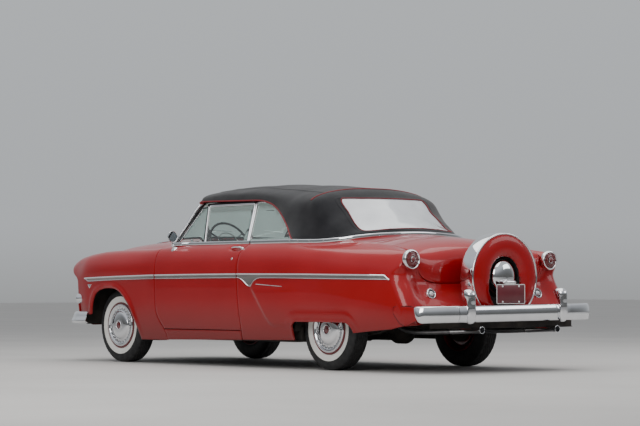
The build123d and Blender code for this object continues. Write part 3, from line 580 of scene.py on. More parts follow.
# ================================================================ body side surface
VK = A([0, .25, .58, .78, .90, 1.0])
SIDE = [
    (-2620, [(822, 440), (834, 600), (838, 740), (824, 850), (754, 906), (612, 900)]),
    (-2560, [(834, 435), (846, 600), (852, 740), (838, 862), (770, 929), (612, 918)]),
    (-2505, [(842, 430), (856, 560), (864, 740), (848, 872), (780, 945), (612, 930)]),
    (-2420, [(854, 420), (866, 500), (884, 740), (868, 885), (790, 959), (615, 940)]),
    (-2280, [(872, 250), (898, 450), (912, 740), (896, 905), (796, 979), (618, 950)]),
    (-2000, [(882, 214), (915, 450), (926, 740), (912, 915), (798, 1003), (618, 964)]),
    (-1600, [(888, 210), (922, 450), (932, 740), (916, 925), (808, 1011), (622, 982)]),
    (-1370, [(890, 210), (923, 450), (933, 745), (917, 928), (822, 1013), (632, 998)]),
    (-1163, [(890, 212), (924, 450), (934, 750), (918, 930), (866, 1008), (772, 1038)]),
    (-600, [(890, 218), (925, 450), (936, 750), (919, 930), (876, 1004), (815, 1046)]),
    (44, [(890, 228), (925, 450), (936, 750), (919, 930), (876, 1004), (812, 1049)]),
    (575, [(889, 234), (926, 450), (936, 750), (918, 930), (872, 1002), (810, 1052)]),
    (950, [(888, 236), (927, 450), (935, 750), (912, 925), (850, 998), (736, 1042)]),
    (1130, [(888, 235), (927, 450), (934, 750), (905, 920), (835, 994), (702, 1044)]),
    (1450, [(886, 245), (925, 450), (926, 750), (886, 915), (805, 988), (700, 1034)]),
    (1750, [(876, 260), (914, 450), (906, 750), (860, 905), (786, 977), (692, 1008)]),
    (1950, [(862, 275), (900, 450), (884, 750), (836, 898), (768, 966), (690, 964)]),
    (2055, [(850, 290), (884, 450), (868, 750), (828, 892), (762, 960), (693, 904)]),
    (2200, [(832, 300), (862, 450), (845, 750), (812, 880), (752, 930), (692, 860)]),
]
SROWS = Rows([r[0] for r in SIDE], [np.ravel(r[1]) for r in SIDE], sigma=48)
WV = 900.0          # section parameter in millimetres or so


def side_xz(y, v):
    c = SROWS.at(y).reshape(-1, 6, 2)
    b = spline(VK, np.eye(6), v)
    return (b[:, :, None] * c).sum(1)


def side_v(y, z, hi=0.93):
    """Section parameter where the side is at height z."""
    y, z = np.broadcast_arrays(A(y), A(z))
    y, z = y.ravel(), z.ravel()
    a, b = np.full(len(y), -0.05), np.full(len(y), hi)
    for _ in range(30):
        m = (a + b) / 2
        up = side_xz(y, m)[:, 1] < z
        a, b = np.where(up, m, a), np.where(up, b, m)
    return (a + b) / 2


# the tail: y of the rear surface by height, at five distances from the centre line
TAIL_Z = A([375, 500, 560, 660, 690, 716, 760, 800, 840, 1000])
TAIL_X = A([0, 600, 676, 760, 812, 860])
TAIL_Y = A([
    [2188, 2180, 2152, 2102, 2094, 2087, 2079, 2072, 2065, 2036],
    [2184, 2176, 2150, 2088, 2074, 2061, 2052, 2046, 2040, 2034],
    [2182, 2174, 2148, 2082, 2067, 2054, 2044, 2038, 2035, 2034],
    [2178, 2170, 2143, 2096, 2080, 2064, 2046, 2037, 2034, 2034],
    [2156, 2148, 2134, 2092, 2077, 2062, 2044, 2036, 2034, 2034],
    [2130, 2124, 2110, 2074, 2062, 2052, 2040, 2034, 2032, 2032],
])
TAIL_Y[:4] += A([0, -4, -20, -36, -36, -34, -20, -8, 0, 0]) * A([1, 1, 1, .3])[:, None]


_TK = A([-45, -34, -22, -11, 0, 11, 22, 34, 45.0])
_TG = np.exp(-(_TK / 24.0) ** 2)
_TG /= _TG.sum()


def tail_y(x, z):
    """y of the rear surface, its columns blended smoothly into each other."""
    x, z = np.abs(A(x)), A(z)
    c = Rows_tail.at(z)
    r = np.arange(len(x))
    out = np.zeros(len(x))
    for o, g in zip(_TK, _TG):
        q = np.clip(np.abs(x + o), 0, 860)
        i = np.clip(np.searchsorted(TAIL_X, q, side="right") - 1, 0, len(TAIL_X) - 2)
        t = (q - TAIL_X[i]) / (TAIL_X[i + 1] - TAIL_X[i])
        out += g * (c[r, i] * (1 - t) + c[r, i + 1] * t)
    return out


Rows_tail = Rows(TAIL_Z, TAIL_Y.T, sigma=14, step=2, pad=200)
LAMP = A((753.0, 893.0))

# where the side starts to turn inwards, by section parameter
_v = np.linspace(-0.05, 1.0, 220)
_wz = None
_y = np.full(len(_v), 2040.0)
for _ in range(6):
    _p = side_xz(_y, _v)
    _wz = smooth(770, 850, _p[:, 1])
    _R = 118 * (1 - _wz) + 13 * _wz
    _y = tail_y(_p[:, 0] - _R, _p[:, 1]) - _R
S0_TAB, R_TAB, WZ_TAB = _y, _R, _wz


def tail_turn(v):
    return np.interp(v, _v, S0_TAB), np.interp(v, _v, R_TAB), np.interp(v, _v, WZ_TAB)


FRONT_OPENING = through([(-2232, 190), (-2222, 280), (-2216, 330), (-2204, 400), (-2190, 480), (-2166, 557), (-2113, 622), (-2030, 655),
                         (-1945, 668), (-1860, 669), (-1766, 656), (-1686, 615), (-1606, 545), (-1552, 480), (-1507, 400),
                         (-1457, 300), (-1418, 205)], 10)
REAR_OPENING = rounded([(757, 210), (742, 355), (786, 397), (1447, 397), (1500, 365), (1532, 290)],
                       [0, 60, 45, 60, 45, 0], n=8)
CREASE = through([(205, 700), (226, 664), (331, 520), (395, 432), (434, 386), (470, 360), (511, 347), (620, 345), (740, 347)], 18)


def dent(y, z):
    """How far the panel stands proud of the plain surface, in mm."""
    q = np.stack([y, z], 1)
    d, s = line_distance(FRONT_OPENING, q)
    out = 11.0 * np.exp(-((d - 20.0) / 19.0) ** 2) * smooth(200, 420, z) * (y < -1300)
    d, s = line_distance(REAR_OPENING, q)
    up = smooth(380, 400, z)
    out += (5.0 * np.exp(-(d / 13.0) ** 2)) * (y > 700) * (y < 1600)
    # a raised band over the rear opening
    out += 4.5 * smooth(84, 64, d) * smooth(330, 410, z) * (y > 600) * (y < 1680)
    # the rear fender's leading edge
    d, s = line_distance(CREASE, q)
    behind = smooth(-3, 26, np.where(s < 0, -d, d))
    fade = smooth(720, 640, z) * smooth(1100, 420, y) * (y > 150)
    out += 9.0 * behind * fade * smooth(1000, 600, y)
    # hollow behind the door handle
    e = ((y + 46) / 105.0) ** 2 + ((z - 1006) / 24.0) ** 2
    out -= 12.0 * np.exp(-(e ** 2)) * (np.abs(y + 46) < 260)
    return out


def side_points(uv):
    """Left side surface; u runs rearward, then round the corner and inwards."""
    s, v = uv[:, 0], uv[:, 1] / WV
    s0, r, wz = tail_turn(v)
    y = np.minimum(s, s0)
    xz = side_xz(y, v)
    x, z = xz[:, 0].copy(), xz[:, 1].copy()
    over = s - s0
    a = np.clip(over / r, 0, math.pi / 2)
    q = r * (1 - np.cos(a)) + np.maximum(over - r * math.pi / 2, 0)
    dc = LAMP - xz
    l = np.maximum(np.linalg.norm(dc, axis=1, keepdims=True), 1e-6)
    d = dc / l * wz[:, None] + A((-1, 0)) * (1 - wz[:, None])
    q = np.minimum(q, np.where(wz > 0.5, l[:, 0] * 0.98, 1e9))
    x += d[:, 0] * q * (over > 0)
    z += d[:, 1] * q * (over > 0)
    yt = tail_y(np.maximum(x, 0), z)
    ye = s0 + r * np.sin(a)
    flat = smooth(math.pi / 2 * 0.6, math.pi / 2, np.clip(over / r, 0, 2))
    y = np.where(over > 0, ye * (1 - flat) + yt * flat, s)
    return np.stack([x, y, z], 1)


_side_n = with_normals(side_points, 1.5)


def side_surface(uv):
    p, n = _side_n(uv)
    n = np.where((n[:, :1] < 0) & (np.abs(n[:, 1:2]) < 0.5) & (n[:, 2:] < 0.1), -n, n)
    e = dent(np.minimum(p[:, 1], 2030), p[:, 2]) * (p[:, 0] > 780)
    pp = p + n * e[:, None]
    return pp, n


def to_uv(pts):
    """(y, z) points of the side to surface coordinates."""
    out = []
    for q in pts:
        out.append(q)
    y, z = A([q[0] for q in out]), A([q[1] for q in out])
    return np.stack([y, side_v(y, z) * WV], 1)


def tail_uv(pts):
    """(x, z) points of the rear surface to surface coordinates of the left side."""
    p = A(pts)
    z = p[:, 1]
    v = side_v(np.full(len(p), 2040.0), z)
    for _ in range(3):
        s0, r, wz = tail_turn(v)
        v = side_v(s0, z)
    s0, r, wz = tail_turn(v)
    xc = side_xz(s0, v)[:, 0] - r
    return np.stack([s0 + r * math.pi / 2 + (xc - p[:, 0]), v * WV], 1)


HG = 3.0  # half a shut line, less the rolled edge
# ---- seams of the side, as (y, z)
SEAM_A = rounded([(-1163, 1100), (-1163, 505), (-1150, 432), (-1093, 352), (-1060, 312)], [0, 60, 60, 30, 0], n=6)
SEAM_B = rounded([(54, 300), (50, 420), (38, 600), (30, 760), (26, 880), (36, 955), (52, 1010), (74, 1060)],
                 [0, 60, 60, 60, 50, 40, 40, 0], n=5)


def shift_line(line, d):
    """Open 2-D line moved sideways by d."""
    p = A(line)
    t = np.gradient(p, axis=0)
    t /= np.maximum(np.linalg.norm(t, axis=1, keepdims=True), 1e-9)
    return p + np.stack([-t[:, 1], t[:, 0]], 1) * d


def upto_crown(line):
    """Side line whose top end runs on to the inner edge, in surface coordinates."""
    p = A(line)
    low = p[p[:, 1] < 985]
    uv = to_uv(low)
    # last stretch straight to the inner edge
    top = p[np.argmax(p[:, 1])]
    first_is_top = p[0, 1] > p[-1, 1]
    y_end = top[0]
    a = uv[0] if first_is_top else uv[-1]
    ext = resample([a, (y_end, WV * 0.9995)], 9)[1:]
    return np.vstack([ext[::-1], uv]) if first_is_top else np.vstack([uv, ext])


def fender_outline():
    rear = upto_crown(resample(shift_line(SEAM_A, -HG - 2.2), 9))            # from the top down
    rear[:, 0] = np.minimum(rear[:, 0], 3000)
    low = to_uv(resample([(-1052, 298), (-1018, 216), (-1424, 214)], 12))
    arch = to_uv(resample(FRONT_OPENING[::-1], 9))
    arch = arch[(FRONT_OPENING[::-1][:, 1][np.clip(np.arange(len(arch)), 0, len(FRONT_OPENING) - 1)] > 0)]
    ar = resample(FRONT_OPENING[::-1], 9)
    ar = ar[ar[:, 1] > 222]
    ar = ar[~((ar[:, 0] < -2100) & (ar[:, 1] < 436))]
    arch = to_uv(ar)
    nose = to_uv(resample([(-2204, 430), (-2458, 430)], 12))
    edge = through([(-2463, 440), (-2465, 560), (-2468, 690), (-2478, 744), (-2520, 776), (-2570, 802), (-2600, 832), (-2610, 862), (-2602, 886)], 8)
    front = to_uv(edge)
    last = front[-1]
    cap = resample([tuple(last), (-2596, WV * 0.82), (-2590, WV * 0.90), (-2582, WV - 2)], 8)[1:]
    front = np.vstack([front, cap])
    top = np.stack([np.linspace(-2574, -1172, 150), np.full(150, WV * 0.9995)], 1)
    loop = np.vstack([rear, low, arch, nose, front, top])
    return clean(loop)


def clean(loop, tol=2.5):
    """Drops points that nearly coincide with the one before."""
    out = [loop[0]]
    for q in loop[1:]:
        if np.linalg.norm(q - out[-1]) > tol:
            out.append(q)
    if np.linalg.norm(out[0] - out[-1]) < tol:
        out.pop()
    return A(out)


SIDE_V = np.r_[np.arange(8, 520, 20), np.arange(524, 650, 14), np.arange(655, 899, 9)]


def side_panel(name, outline, u0, u1, depth=14, du=18, **kw):
    return panel(side_surface, outline, lines_u=np.arange(u0, u1, du), lines_v=SIDE_V, du=du, dv=14, depth=depth, **kw)


v, f = side_panel("fender", fender_outline(), -2600, -1020)
both("front_fender_skin", v, f, "paint", replaces=(("front_fender_left",), ("front_fender_right",)))

# door: outer skin, deep flanges and inner panel in one closed piece
da = upto_crown(resample(shift_line(SEAM_A, HG + 2.2), 9))
db = upto_crown(resample(shift_line(SEAM_B, HG + 2.2), 9))     # from the bottom up
low = to_uv(resample([(-1050, 316), (44, 316)], 12))
top = np.stack([np.linspace(db[-1, 0] - 6, -1152, 130), np.full(130, WV * 0.9995)], 1)
door_loop = clean(np.vstack([da, low, db, top]))
v, f = side_panel("door", door_loop, -1150, 110, depth=30)
both("door_skin", v, f, "paint", bodies=("door_left_body", "door_right_body"), replaces=(("door_left",), ("door_right",)))

# sill under the door
low_loop = clean(to_uv(np.vstack([resample([(-1046, 306), (-1046, 300), (-1012, 219), (44, 234), (46, 306)], 12),
                                  resample([(40, 306), (-1040, 306)], 12)])))
v, f = side_panel("sill", low_loop, -1040, 50)
both("sill_skin", v, f, "paint")

# rear quarter, round the corner to the tail
qa = upto_crown(resample(shift_line(SEAM_B, -HG - 2.2), 9))[::-1]   # from the top down
qa = qa[qa[:, 1] > to_uv([(60, 240)])[0, 1]]
qlow = to_uv(resample([(58, 235), (752, 243)], 12))
ro = resample(REAR_OPENING, 9)
ro = ro[(ro[:, 1] > 248)]
ro = ro[~((ro[:, 0] > 1480) & (ro[:, 1] < 314))]
qarch = to_uv(ro)
qtail = to_uv(resample([(1522, 312), (1750, 332), (1950, 347), (2080, 372)], 12))
corner = tail_uv(resample([(790, 380), (678, 404)], 12))
up = tail_uv(resample([(676, 410), (676, 706)], 10))
LID_CORNER = [(480, 716), (560, 721), (600, 733), (633, 757), (659, 797), (669, 838), (670, 900)]
lidc = through(LID_CORNER, 8)
near = shift_line(lidc, -7.5)
near = near[(near[:, 0] > 612) & (near[:, 1] < 812)]
corner2 = tail_uv(np.vstack([[(676, 709)], near[:0]]))
vv = np.linspace(0.0, 1.0, 40)
v_lo = tail_uv([(676, 800)])[0, 1] / WV
side_up = []
for q in np.linspace(716, 800, 10):
    side_up.append(tail_uv([(676 + 7 * max(0.0, (q - 776) / 24.0), q)])[0])
lampv = np.linspace(side_up[-1][1] / WV + 0.008, 0.9995, 34)
s0, r, wz = tail_turn(lampv)
cap_s = s0 + r * math.pi / 2 + 12 + 60 * (1 - smooth(0.0, 0.9, wz))
lamp_edge = np.stack([cap_s, lampv * WV], 1)
qtop = np.stack([np.linspace(cap_s[-1] - 8, qa[0, 0] + 6, 200), np.full(200, WV * 0.9995)], 1)
quarter_loop = clean(np.vstack([qa, qlow, qarch, qtail, corner, up, corner2, A(side_up), lamp_edge, qtop]))
tight = lambda p: np.where((np.abs(p[:, 0]) < 684) & (p[:, 1] > 1990) & (p[:, 2] < 806), 0.12, 2.2)
# thinner round the end of the fender, where it turns tightly in to the lamp
thin = lambda p: 14.0 - 11.2 * smooth(1930, 1990, p[:, 1]) * smooth(800, 850, p[:, 2])
v, f = side_panel("quarter", quarter_loop, 60, 2330, hem=tight, depth=thin)
both("rear_quarter_skin", v, f, "paint", replaces=(("rear_quarter_left",), ("rear_quarter_right",)))

# ================================================================ hood, cowl, deck
HOOD = [
    (-2592, [(530, 878), (335, 918), (160, 938), (0, 947)]),
    (-2560, [(574, 905), (372, 958), (182, 985), (0, 996)]),
    (-2500, [(598, 926), (405, 993), (201, 1030), (0, 1042)]),
    (-2380, [(608, 942), (416, 1019), (207, 1060), (0, 1074)]),
    (-2200, [(611, 955), (422, 1033), (211, 1075), (0, 1088)]),
    (-1800, [(612, 970), (426, 1053), (215, 1095), (0, 1108)]),
    (-1370, [(627, 993), (433, 1071), (216, 1108), (0, 1119)]),
    (-1163, [(700, 1040), (470, 1080), (235, 1101), (0, 1109)]),
    (-1075, [(708, 1046), (470, 1078), (235, 1096), (0, 1101)]),
]
HK = A([-1, -.66, -.33, 0, .33, .66, 1])
HROWS = Rows([r[0] for r in HOOD], [np.ravel(r[1]) for r in HOOD], sigma=22)
HW = 620.0


def hood_points(uv):
    """u runs across from the right (-HW) to the left (HW), v is y."""
    s, y = uv[:, 0] / HW, uv[:, 1]
    c = HROWS.at(y).reshape(-1, 4, 2)
    full = np.concatenate([c[:, :3] * A((-1, 1)), c[:, 3:], c[:, 2::-1]], 1)
    b = spline(HK, np.eye(7), s)
    xz = (b[:, :, None] * full).sum(1)
    z = xz[:, 1].copy()
    # centre rib and a soft crown line, and the edges turned down
    z += 5.0 * np.exp(-(xz[:, 0] / 22.0) ** 2) * smooth(-1060, -1500, y)
    z -= 6.0 * smooth(0.95, 1.0, np.abs(s)) * smooth(-1200, -1420, y)
    # the nose rolls down to the grille
    z -= 30.0 * smooth(-2540, -2592, y) ** 2
    return np.stack([xz[:, 0], y, z], 1)


hood_s = with_normals(hood_points, 1.0)
HX = np.r_[-1.0, np.linspace(-0.985, -0.9, 7), np.linspace(-0.87, 0.87, 44), np.linspace(0.9, 0.985, 7), 1.0] * (HW - 1.0)


def curve_loop(front, rear, side=None, step=14):
    """Closed outline in (u, y): front and rear give y for a share across -1..1."""
    t = np.linspace(-1, 1, int(2 * HW / step))
    e = HW - 3.0
    f0 = np.stack([t * e, front(t)], 1)
    r0 = np.stack([t[::-1] * e, rear(t[::-1])], 1)
    n = 60
    ys = np.linspace(f0[-1, 1], r0[0, 1], n)[1:-1]
    right = np.stack([np.full(n - 2, e), ys], 1)
    ys = np.linspace(r0[-1, 1], f0[0, 1], n)[1:-1]
    left = np.stack([np.full(n - 2, -e), ys], 1)
    return np.vstack([f0, right, r0, left])


hood_loop = curve_loop(lambda t: -2590 + 26 * np.abs(t) ** 3, lambda t: np.full(len(t), -1373.5))
v, f = panel(hood_s, clean(hood_loop), lines_u=HX[1:-1], lines_v=np.arange(-2582, -1378, 16.0), du=16, dv=16, depth=16)
solid("hood_skin", v, f, "paint", "hood_body", ("hood",))


def ws_y(t):
    """Line along the foot of the windshield, for a share across."""
    x = np.abs(t) * 716
    return np.interp(x, [0, 400, 612, 716], [-1286, -1246, -1186, -1118])


cowl_loop = curve_loop(lambda t: np.full(len(t), -1364.5), lambda t: ws_y(t) + 26)
v, f = panel(hood_s, clean(cowl_loop), lines_u=HX[1:-1], lines_v=np.arange(-1356, -1090, 14.0), du=14, dv=14, depth=14)
# firewall and its side walls under it
pts = [(-600, 345), (600, 345), (610, 940), (430, 1025), (215, 1068), (0, 1080), (-215, 1068), (-430, 1025), (-610, 940)]


def plate_y(pts, y0, y1, bevel=3.0):
    """Flat sheet in x, z between two y planes with softened edges."""
    p = A(pts)
    c = p.mean(0)
    q = c + (p - c) * (1 - bevel / 300.0)
    rows = [np.stack([q[:, 0], np.full(len(p), y0), q[:, 1]], 1), np.stack([p[:, 0], np.full(len(p), y0 + bevel), p[:, 1]], 1),
            np.stack([p[:, 0], np.full(len(p), y1 - bevel), p[:, 1]], 1), np.stack([q[:, 0], np.full(len(p), y1), q[:, 1]], 1)]
    n = len(p)
    f = grid_faces(4, n, wrap_v=True)
    f += [tuple(reversed(range(n))), tuple(range(3 * n, 4 * n))]
    return np.vstack(rows), f


def blockv(x0, x1, y0, y1, z0, z1, r=4.0):
    """Rounded block as a superellipse-like loft along z."""
    cx, cy, hx, hy = (x0 + x1) / 2, (y0 + y1) / 2, (x1 - x0) / 2, (y1 - y0) / 2
    rows = []
    r = min(r, hx * 0.9, hy * 0.9, (z1 - z0) * 0.45)
    prof = [(r, z0), (r * 0.3, z0 + r * 0.3), (0, z0 + r), (0, z1 - r), (r * 0.3, z1 - r * 0.3), (r, z1)]
    for ins, z in prof:
        a, b = hx - ins, hy - ins
        k = max(r - ins, 0.5)
        loop = []
        for sx, sy, a0 in ((1, 1, 0), (-1, 1, 90), (-1, -1, 180), (1, -1, 270)):
            for j in range(4):
                t = math.radians(a0 + 30 * j)
                loop.append((cx + sx * (a - k) + k * math.cos(t), cy + sy * (b - k) + k * math.sin(t), z))
        rows.append(A(loop))
    n = 16
    f = grid_faces(len(rows), n, wrap_v=True)
    f += [tuple(reversed(range(n))), tuple(range((len(rows) - 1) * n, len(rows) * n))]
    return np.vstack(rows), f


wall = plate_y(pts, -1420, -1404)
walls = [wall]
for s in (1, -1):
    walls.append(blockv(min(s * 600, s * 800), max(s * 600, s * 800), -1420, -1404, 345, 900, 5))
    walls.append(blockv(min(s * 786, s * 800), max(s * 786, s * 800), -1402, -1174, 345, 940, 5))
    walls.append(blockv(min(s * 600, s * 800), max(s * 600, s * 800), -1420, -1180, 884, 900, 5))
# pressed ribs of the firewall
for x in (-420, -210, 0, 210, 420):
    walls.append(blockv(x - 16, x + 16, -1426, -1418, 420, 860, 5))
cw = merge((v, f), *walls)
nf, nc = len(cw[1]), len(f)
solid("cowl_skin", cw[0], cw[1], "paint", "body", ("cowl",), mats=["paint", "under"], idx=[0] * nc + [1] * (nf - nc))

# vent grid on the cowl
vent = []
for i in range(15):
    x = -140 + 20 * i
    p = hood_points(A([[x, -1330.0], [x, -1316.0], [x, -1302.0], [x, -1290.0]]))
    p[:, 2] += 1.0
    vent.append(sweep(p, ring(6, 5.0, 1.6, 3), (0, 0, 1)))
v, f = merge(*vent)
solid("cowl_vent_bars", v, f, "chrome", slot="chrome")

# deck between the roof's foot and the lid
TOP_BASE = [(814, 560), (818, 600), (738, 956), (640, 1134), (512, 1229), (256, 1292), (0, 1312),
            (-256, 1292), (-512, 1229), (-640, 1134), (-738, 956), (-818, 600), (-814, 560)]
TB = through(TOP_BASE, 10)
DK = A([-700, -450, -220, 0, 220, 450, 700])
DECK = [(900, [1052, 1088, 1104, 1112]), (1120, [1049, 1087, 1105, 1111]), (1452, [1034, 1064, 1089, 1099])]
DROWS = Rows([r[0] for r in DECK], [r[1] for r in DECK], sigma=60)


def deck_z(x, y):
    c = DROWS.at(y)
    full = np.concatenate([c[:, :3], c[:, 3:], c[:, 2::-1]], 1)
    return (spline(DK, np.eye(7), x) * full).sum(1)


def deck_points(uv):
    return np.stack([uv[:, 0], uv[:, 1], deck_z(uv[:, 0], uv[:, 1])], 1)


tb = TB[(np.abs(TB[:, 0]) < 690)]
tb = tb[np.argsort(-tb[:, 0])]
yl = np.interp(690, TB[::-1][:, 0][:60][::-1] if False else np.sort(TB[TB[:, 0] > 0][:, 0]), TB[TB[:, 0] > 0][np.argsort(TB[TB[:, 0] > 0][:, 0])][:, 1])
front = np.vstack([[(690, yl - 60)], tb - A((0, 40)), [(-690, yl - 60)]])
rear = np.stack([np.linspace(-690, 690, 110), np.full(110, 1446.0)], 1)
loop = clean(np.vstack([front, resample([(-690, yl - 46), (-690, 1440)], 14), rear, resample([(690, 1440), (690, yl - 46)], 14)]), 4)
v, f = panel(with_normals(deck_points), loop, du=18, dv=18, depth=12)
solid("deck_skin", v, f, "paint", "body", ("rear_deck_panel",))

# ================================================================ trunk lid and tail
LX = A([-700, -600, -350, 0, 350, 600, 700])
LW = A([0, 250, 404, 514, 664, 824])
LID = [
    (700, [(1452, 1034), (1700, 1011), (1850, 988), (1950, 964), (2020, 914), (2018, 722)]),
    (600, [(1452, 1044), (1700, 1023), (1850, 999), (1952, 967), (2029, 890), (2036, 722)]),
    (350, [(1452, 1075), (1700, 1055), (1850, 1028), (1954, 989), (2042, 882), (2048, 722)]),
    (0, [(1452, 1098), (1700, 1076), (1850, 1046), (1956, 1001), (2050, 884), (2056, 722)]),
]
_lid = A([p for _, p in LID])
_lidfull = np.concatenate([_lid[:3], _lid[3:], _lid[2::-1]], 0)      # 7, 6, 2


def lid_points(uv):
    """u is x, v runs from the front edge over the top and down the rear."""
    bx = spline(LX, np.eye(7), uv[:, 0])
    bw = spline(LW, np.eye(6), uv[:, 1])
    yz = np.einsum("ni,nj,ijk->nk", bx, bw, _lidfull)
    x = uv[:, 0]
    # room for a broad centre panel pressed proud; its height is zero, so the lid stays plain
    rise = 0.0 * smooth(470, 420, np.abs(x)) * smooth(60, 150, uv[:, 1]) * smooth(800, 720, uv[:, 1])
    return np.stack([x, yz[:, 0] + rise * smooth(500, 640, uv[:, 1]), yz[:, 1] + rise * smooth(640, 500, uv[:, 1])], 1)


def lid_w(x, z):
    """v where the rear face of the lid is at height z."""
    w = np.linspace(400, 840, 240)
    out = []
    for a, b in zip(x, z):
        p = lid_points(np.stack([np.full(240, a), w], 1))
        out.append(np.interp(-b, -p[:, 2], w))
    return A(out)


edge_u = A([686, 683, 681, 677, 674, 671, 669])
edge_v = A([3, 180, 300, 430, 520, 600, 650])
side_l = resample(np.stack([edge_u, edge_v], 1), 12)
low = through([(669, 838), (654, 797), (629, 764), (590, 737), (535, 719.5), (465, 712.5), (300, 711), (0, 711)], 12)
lw = np.stack([low[:, 0], lid_w(low[:, 0], low[:, 1])], 1)
half = np.vstack([side_l, lw])
loop = clean(np.vstack([np.stack([np.linspace(-680, 680, 100), np.full(100, 3.0)], 1), half, (half * A((-1, 1)))[::-1][1:]]), 4)
v, f = panel(with_normals(lid_points), loop, lines_v=np.r_[np.arange(14, 380, 18), np.arange(384, 700, 10), np.arange(704, 830, 14)], du=18, dv=10, depth=16)
solid("trunk_lid_skin", v, f, "paint", "trunk_lid_body", ("trunk_lid",))


def tail_points(uv):
    return np.stack([uv[:, 0], tail_y(uv[:, 0], uv[:, 1]) - 2.5 * smooth(680, 696, np.abs(uv[:, 0])), uv[:, 1]], 1)


low = through([(676, 846), (673, 834), (660, 793), (634.5, 758.5), (594, 731), (537.5, 713.5), (466, 706.5), (300, 705), (0, 705)], 12)
half = low[low[:, 1] > 0]
ear = [(676, 406), (676, 790), (684, 801), (712, 806), (742, 816), (746, 850), (746, 936), (722, 926), (698, 910), (694, 880), (692, 846)]
half = np.vstack([resample(ear, 12), half])
loop = clean(np.vstack([half, (half * A((-1, 1)))[::-1][1:], resample([(-670, 404), (670, 404)], 16)]), 4)
holes = [np.stack([s * 450 + 30 * np.cos(np.linspace(0, 2 * math.pi, 20, endpoint=False)),
                   445 + 42 * np.sin(np.linspace(0, 2 * math.pi, 20, endpoint=False))], 1) for s in (1, -1)]
v, f = panel(with_normals(tail_points, flip=True), loop, holes, du=18, dv=14, depth=12,
             hem=lambda p: np.where((np.abs(p[:, 0]) > 675) & (p[:, 2] < 800), 0.12, 2.0))
solid("tail_skin", v, f, "paint", "body", ("tail_panel",))

# lamp pods at the end of the rear fenders
pod = []
ys = np.r_[np.linspace(1950, 2034, 6), 2037, 2039]
n = 48
for y in ys:
    c = A((753, 893 - 8 * (2034 - y) / 84.0))
    rr = 70.0 - 8.0 * (2034 - y) / 84.0 if y < 2035 else (69.0 if y < 2038 else 64.0)
    th = np.arange(n) / n * 2 * math.pi
    pod.append(np.stack([c[0] + rr * np.cos(th), np.full(n, y), c[1] + rr * np.sin(th)], 1))
v, f = np.vstack(pod), grid_faces(len(ys), n, wrap_v=True)
f.append(tuple(range((len(ys) - 1) * n, len(ys) * n)))
both("lamp_pod", v, f, "paint", angle=60)

# inner cheek of each rear fender end, down to the lid
cy = np.linspace(1936, 2032, 17)
top_e = side_points(np.stack([cy, np.full(17, WV * 0.9985)], 1))
ww = np.linspace(0, 760, 500)
le = lid_points(np.stack([np.full(500, 684.0), ww], 1))
o_ = np.argsort(le[:, 1])
zl = np.interp(cy, le[o_, 1], le[o_, 2])
rows = []
for k in np.linspace(0, 1, 9):
    bow = 5.0 * math.sin(k * math.pi)
    rows.append(np.stack([top_e[:, 0] + 3 - k * 1.0 + bow * 0.6, cy, (top_e[:, 2] + 0.5) * (1 - k) + (np.minimum(zl, top_e[:, 2]) - 16) * k], 1))
v = np.vstack(rows)
back_ = v + A((5.0, 0, 0))
f = grid_faces(9, 17)
n0 = len(v)
f2 = [tuple(n0 + q for q in reversed(t)) for t in f]
edge_ = []
lp_ = [i for i in range(17)] + [17 * r + 16 for r in range(1, 9)] + [17 * 8 + i for i in range(15, -1, -1)] + [17 * r for r in range(7, 0, -1)]
for a_, b_ in zip(lp_, lp_[1:] + lp_[:1]):
    edge_.append((b_, a_, n0 + a_, n0 + b_))
both("fender_cheek", np.vstack([v, back_]), f + f2 + edge_, "paint", angle=50)

# ================================================================ splash panel behind the tail
plan = through([(895.5, 2000), (886, 2040), (877, 2100), (868, 2170), (856, 2240), (806, 2304), (700, 2344), (500, 2398), (250, 2404), (0, 2406)], 14)
full = np.vstack([plan, (plan * A((-1, 1)))[::-1][1:]])
t, s, u = frames(np.stack([full[:, 0], full[:, 1], 0 * full[:, 0]], 1), (0, 0, 1))
out = s * 1.0     # points away from the car
if out[len(full) // 2, 1] < 0:
    out = -out
ztop = np.where(full[:, 1] < 2250, np.interp(full[:, 1], [2000, 2010, 2060, 2150, 2250], [518, 526, 529, 530, 520]), 490)
zlow = np.where(full[:, 1] < 2250, np.interp(full[:, 1], [2000, 2012, 2041, 2070, 2108, 2160, 2250], [470, 452, 414, 389, 374, 388, 420]), 430)
zlow = np.where(np.abs(full[:, 0]) < 780, 430, zlow)
prof = [(-14, 0, 0), (-2, 1, -1), (3, 1, -8), (4, 1, -24)]
rows = []
c3 = np.stack([full[:, 0], full[:, 1], ztop], 1)
inner = c3 - out * np.clip((full[:, 1] - 2150)[:, None] * 1.0, 12, 205) * A((1, 1, 0))
inner[:, 2] += 3
rows = [inner, c3 - out * 14, c3 - out * 4 + A((0, 0, -1.5)), c3 - out * 0.5 + A((0, 0, -6)), c3 + A((0, 0, -16)),
        np.stack([full[:, 0], full[:, 1], zlow + 8], 1) + out * 3, np.stack([full[:, 0], full[:, 1], zlow], 1) + out * 0,
        np.stack([full[:, 0], full[:, 1], zlow], 1) - out * 8, np.stack([full[:, 0], full[:, 1], ztop - 16], 1) - out * 10,
        inner - A((0, 0, 8))]
v = np.vstack(rows)
f = [tuple(reversed(q)) for q in grid_faces(len(rows), len(full), wrap_u=True)]
solid("splash_skin", v, f, "paint", "body", ("bumper_extension_panel",), angle=40)
sp = [i for i in range(len(plan)) if plan[i, 1] < 2236]
up_ = np.stack([plan[sp, 0], plan[sp, 1], np.interp(plan[sp, 1], [2000, 2010, 2060, 2150, 2250], [518, 526, 529, 530, 520]) - 1.0], 1)
dn_ = np.stack([plan[sp, 0], plan[sp, 1], np.interp(plan[sp, 1], [2000, 2012, 2041, 2070, 2108, 2160, 2250], [470, 452, 414, 389, 374, 388, 420])], 1)
dn_ = dn_[dn_[:, 1] < 2112]
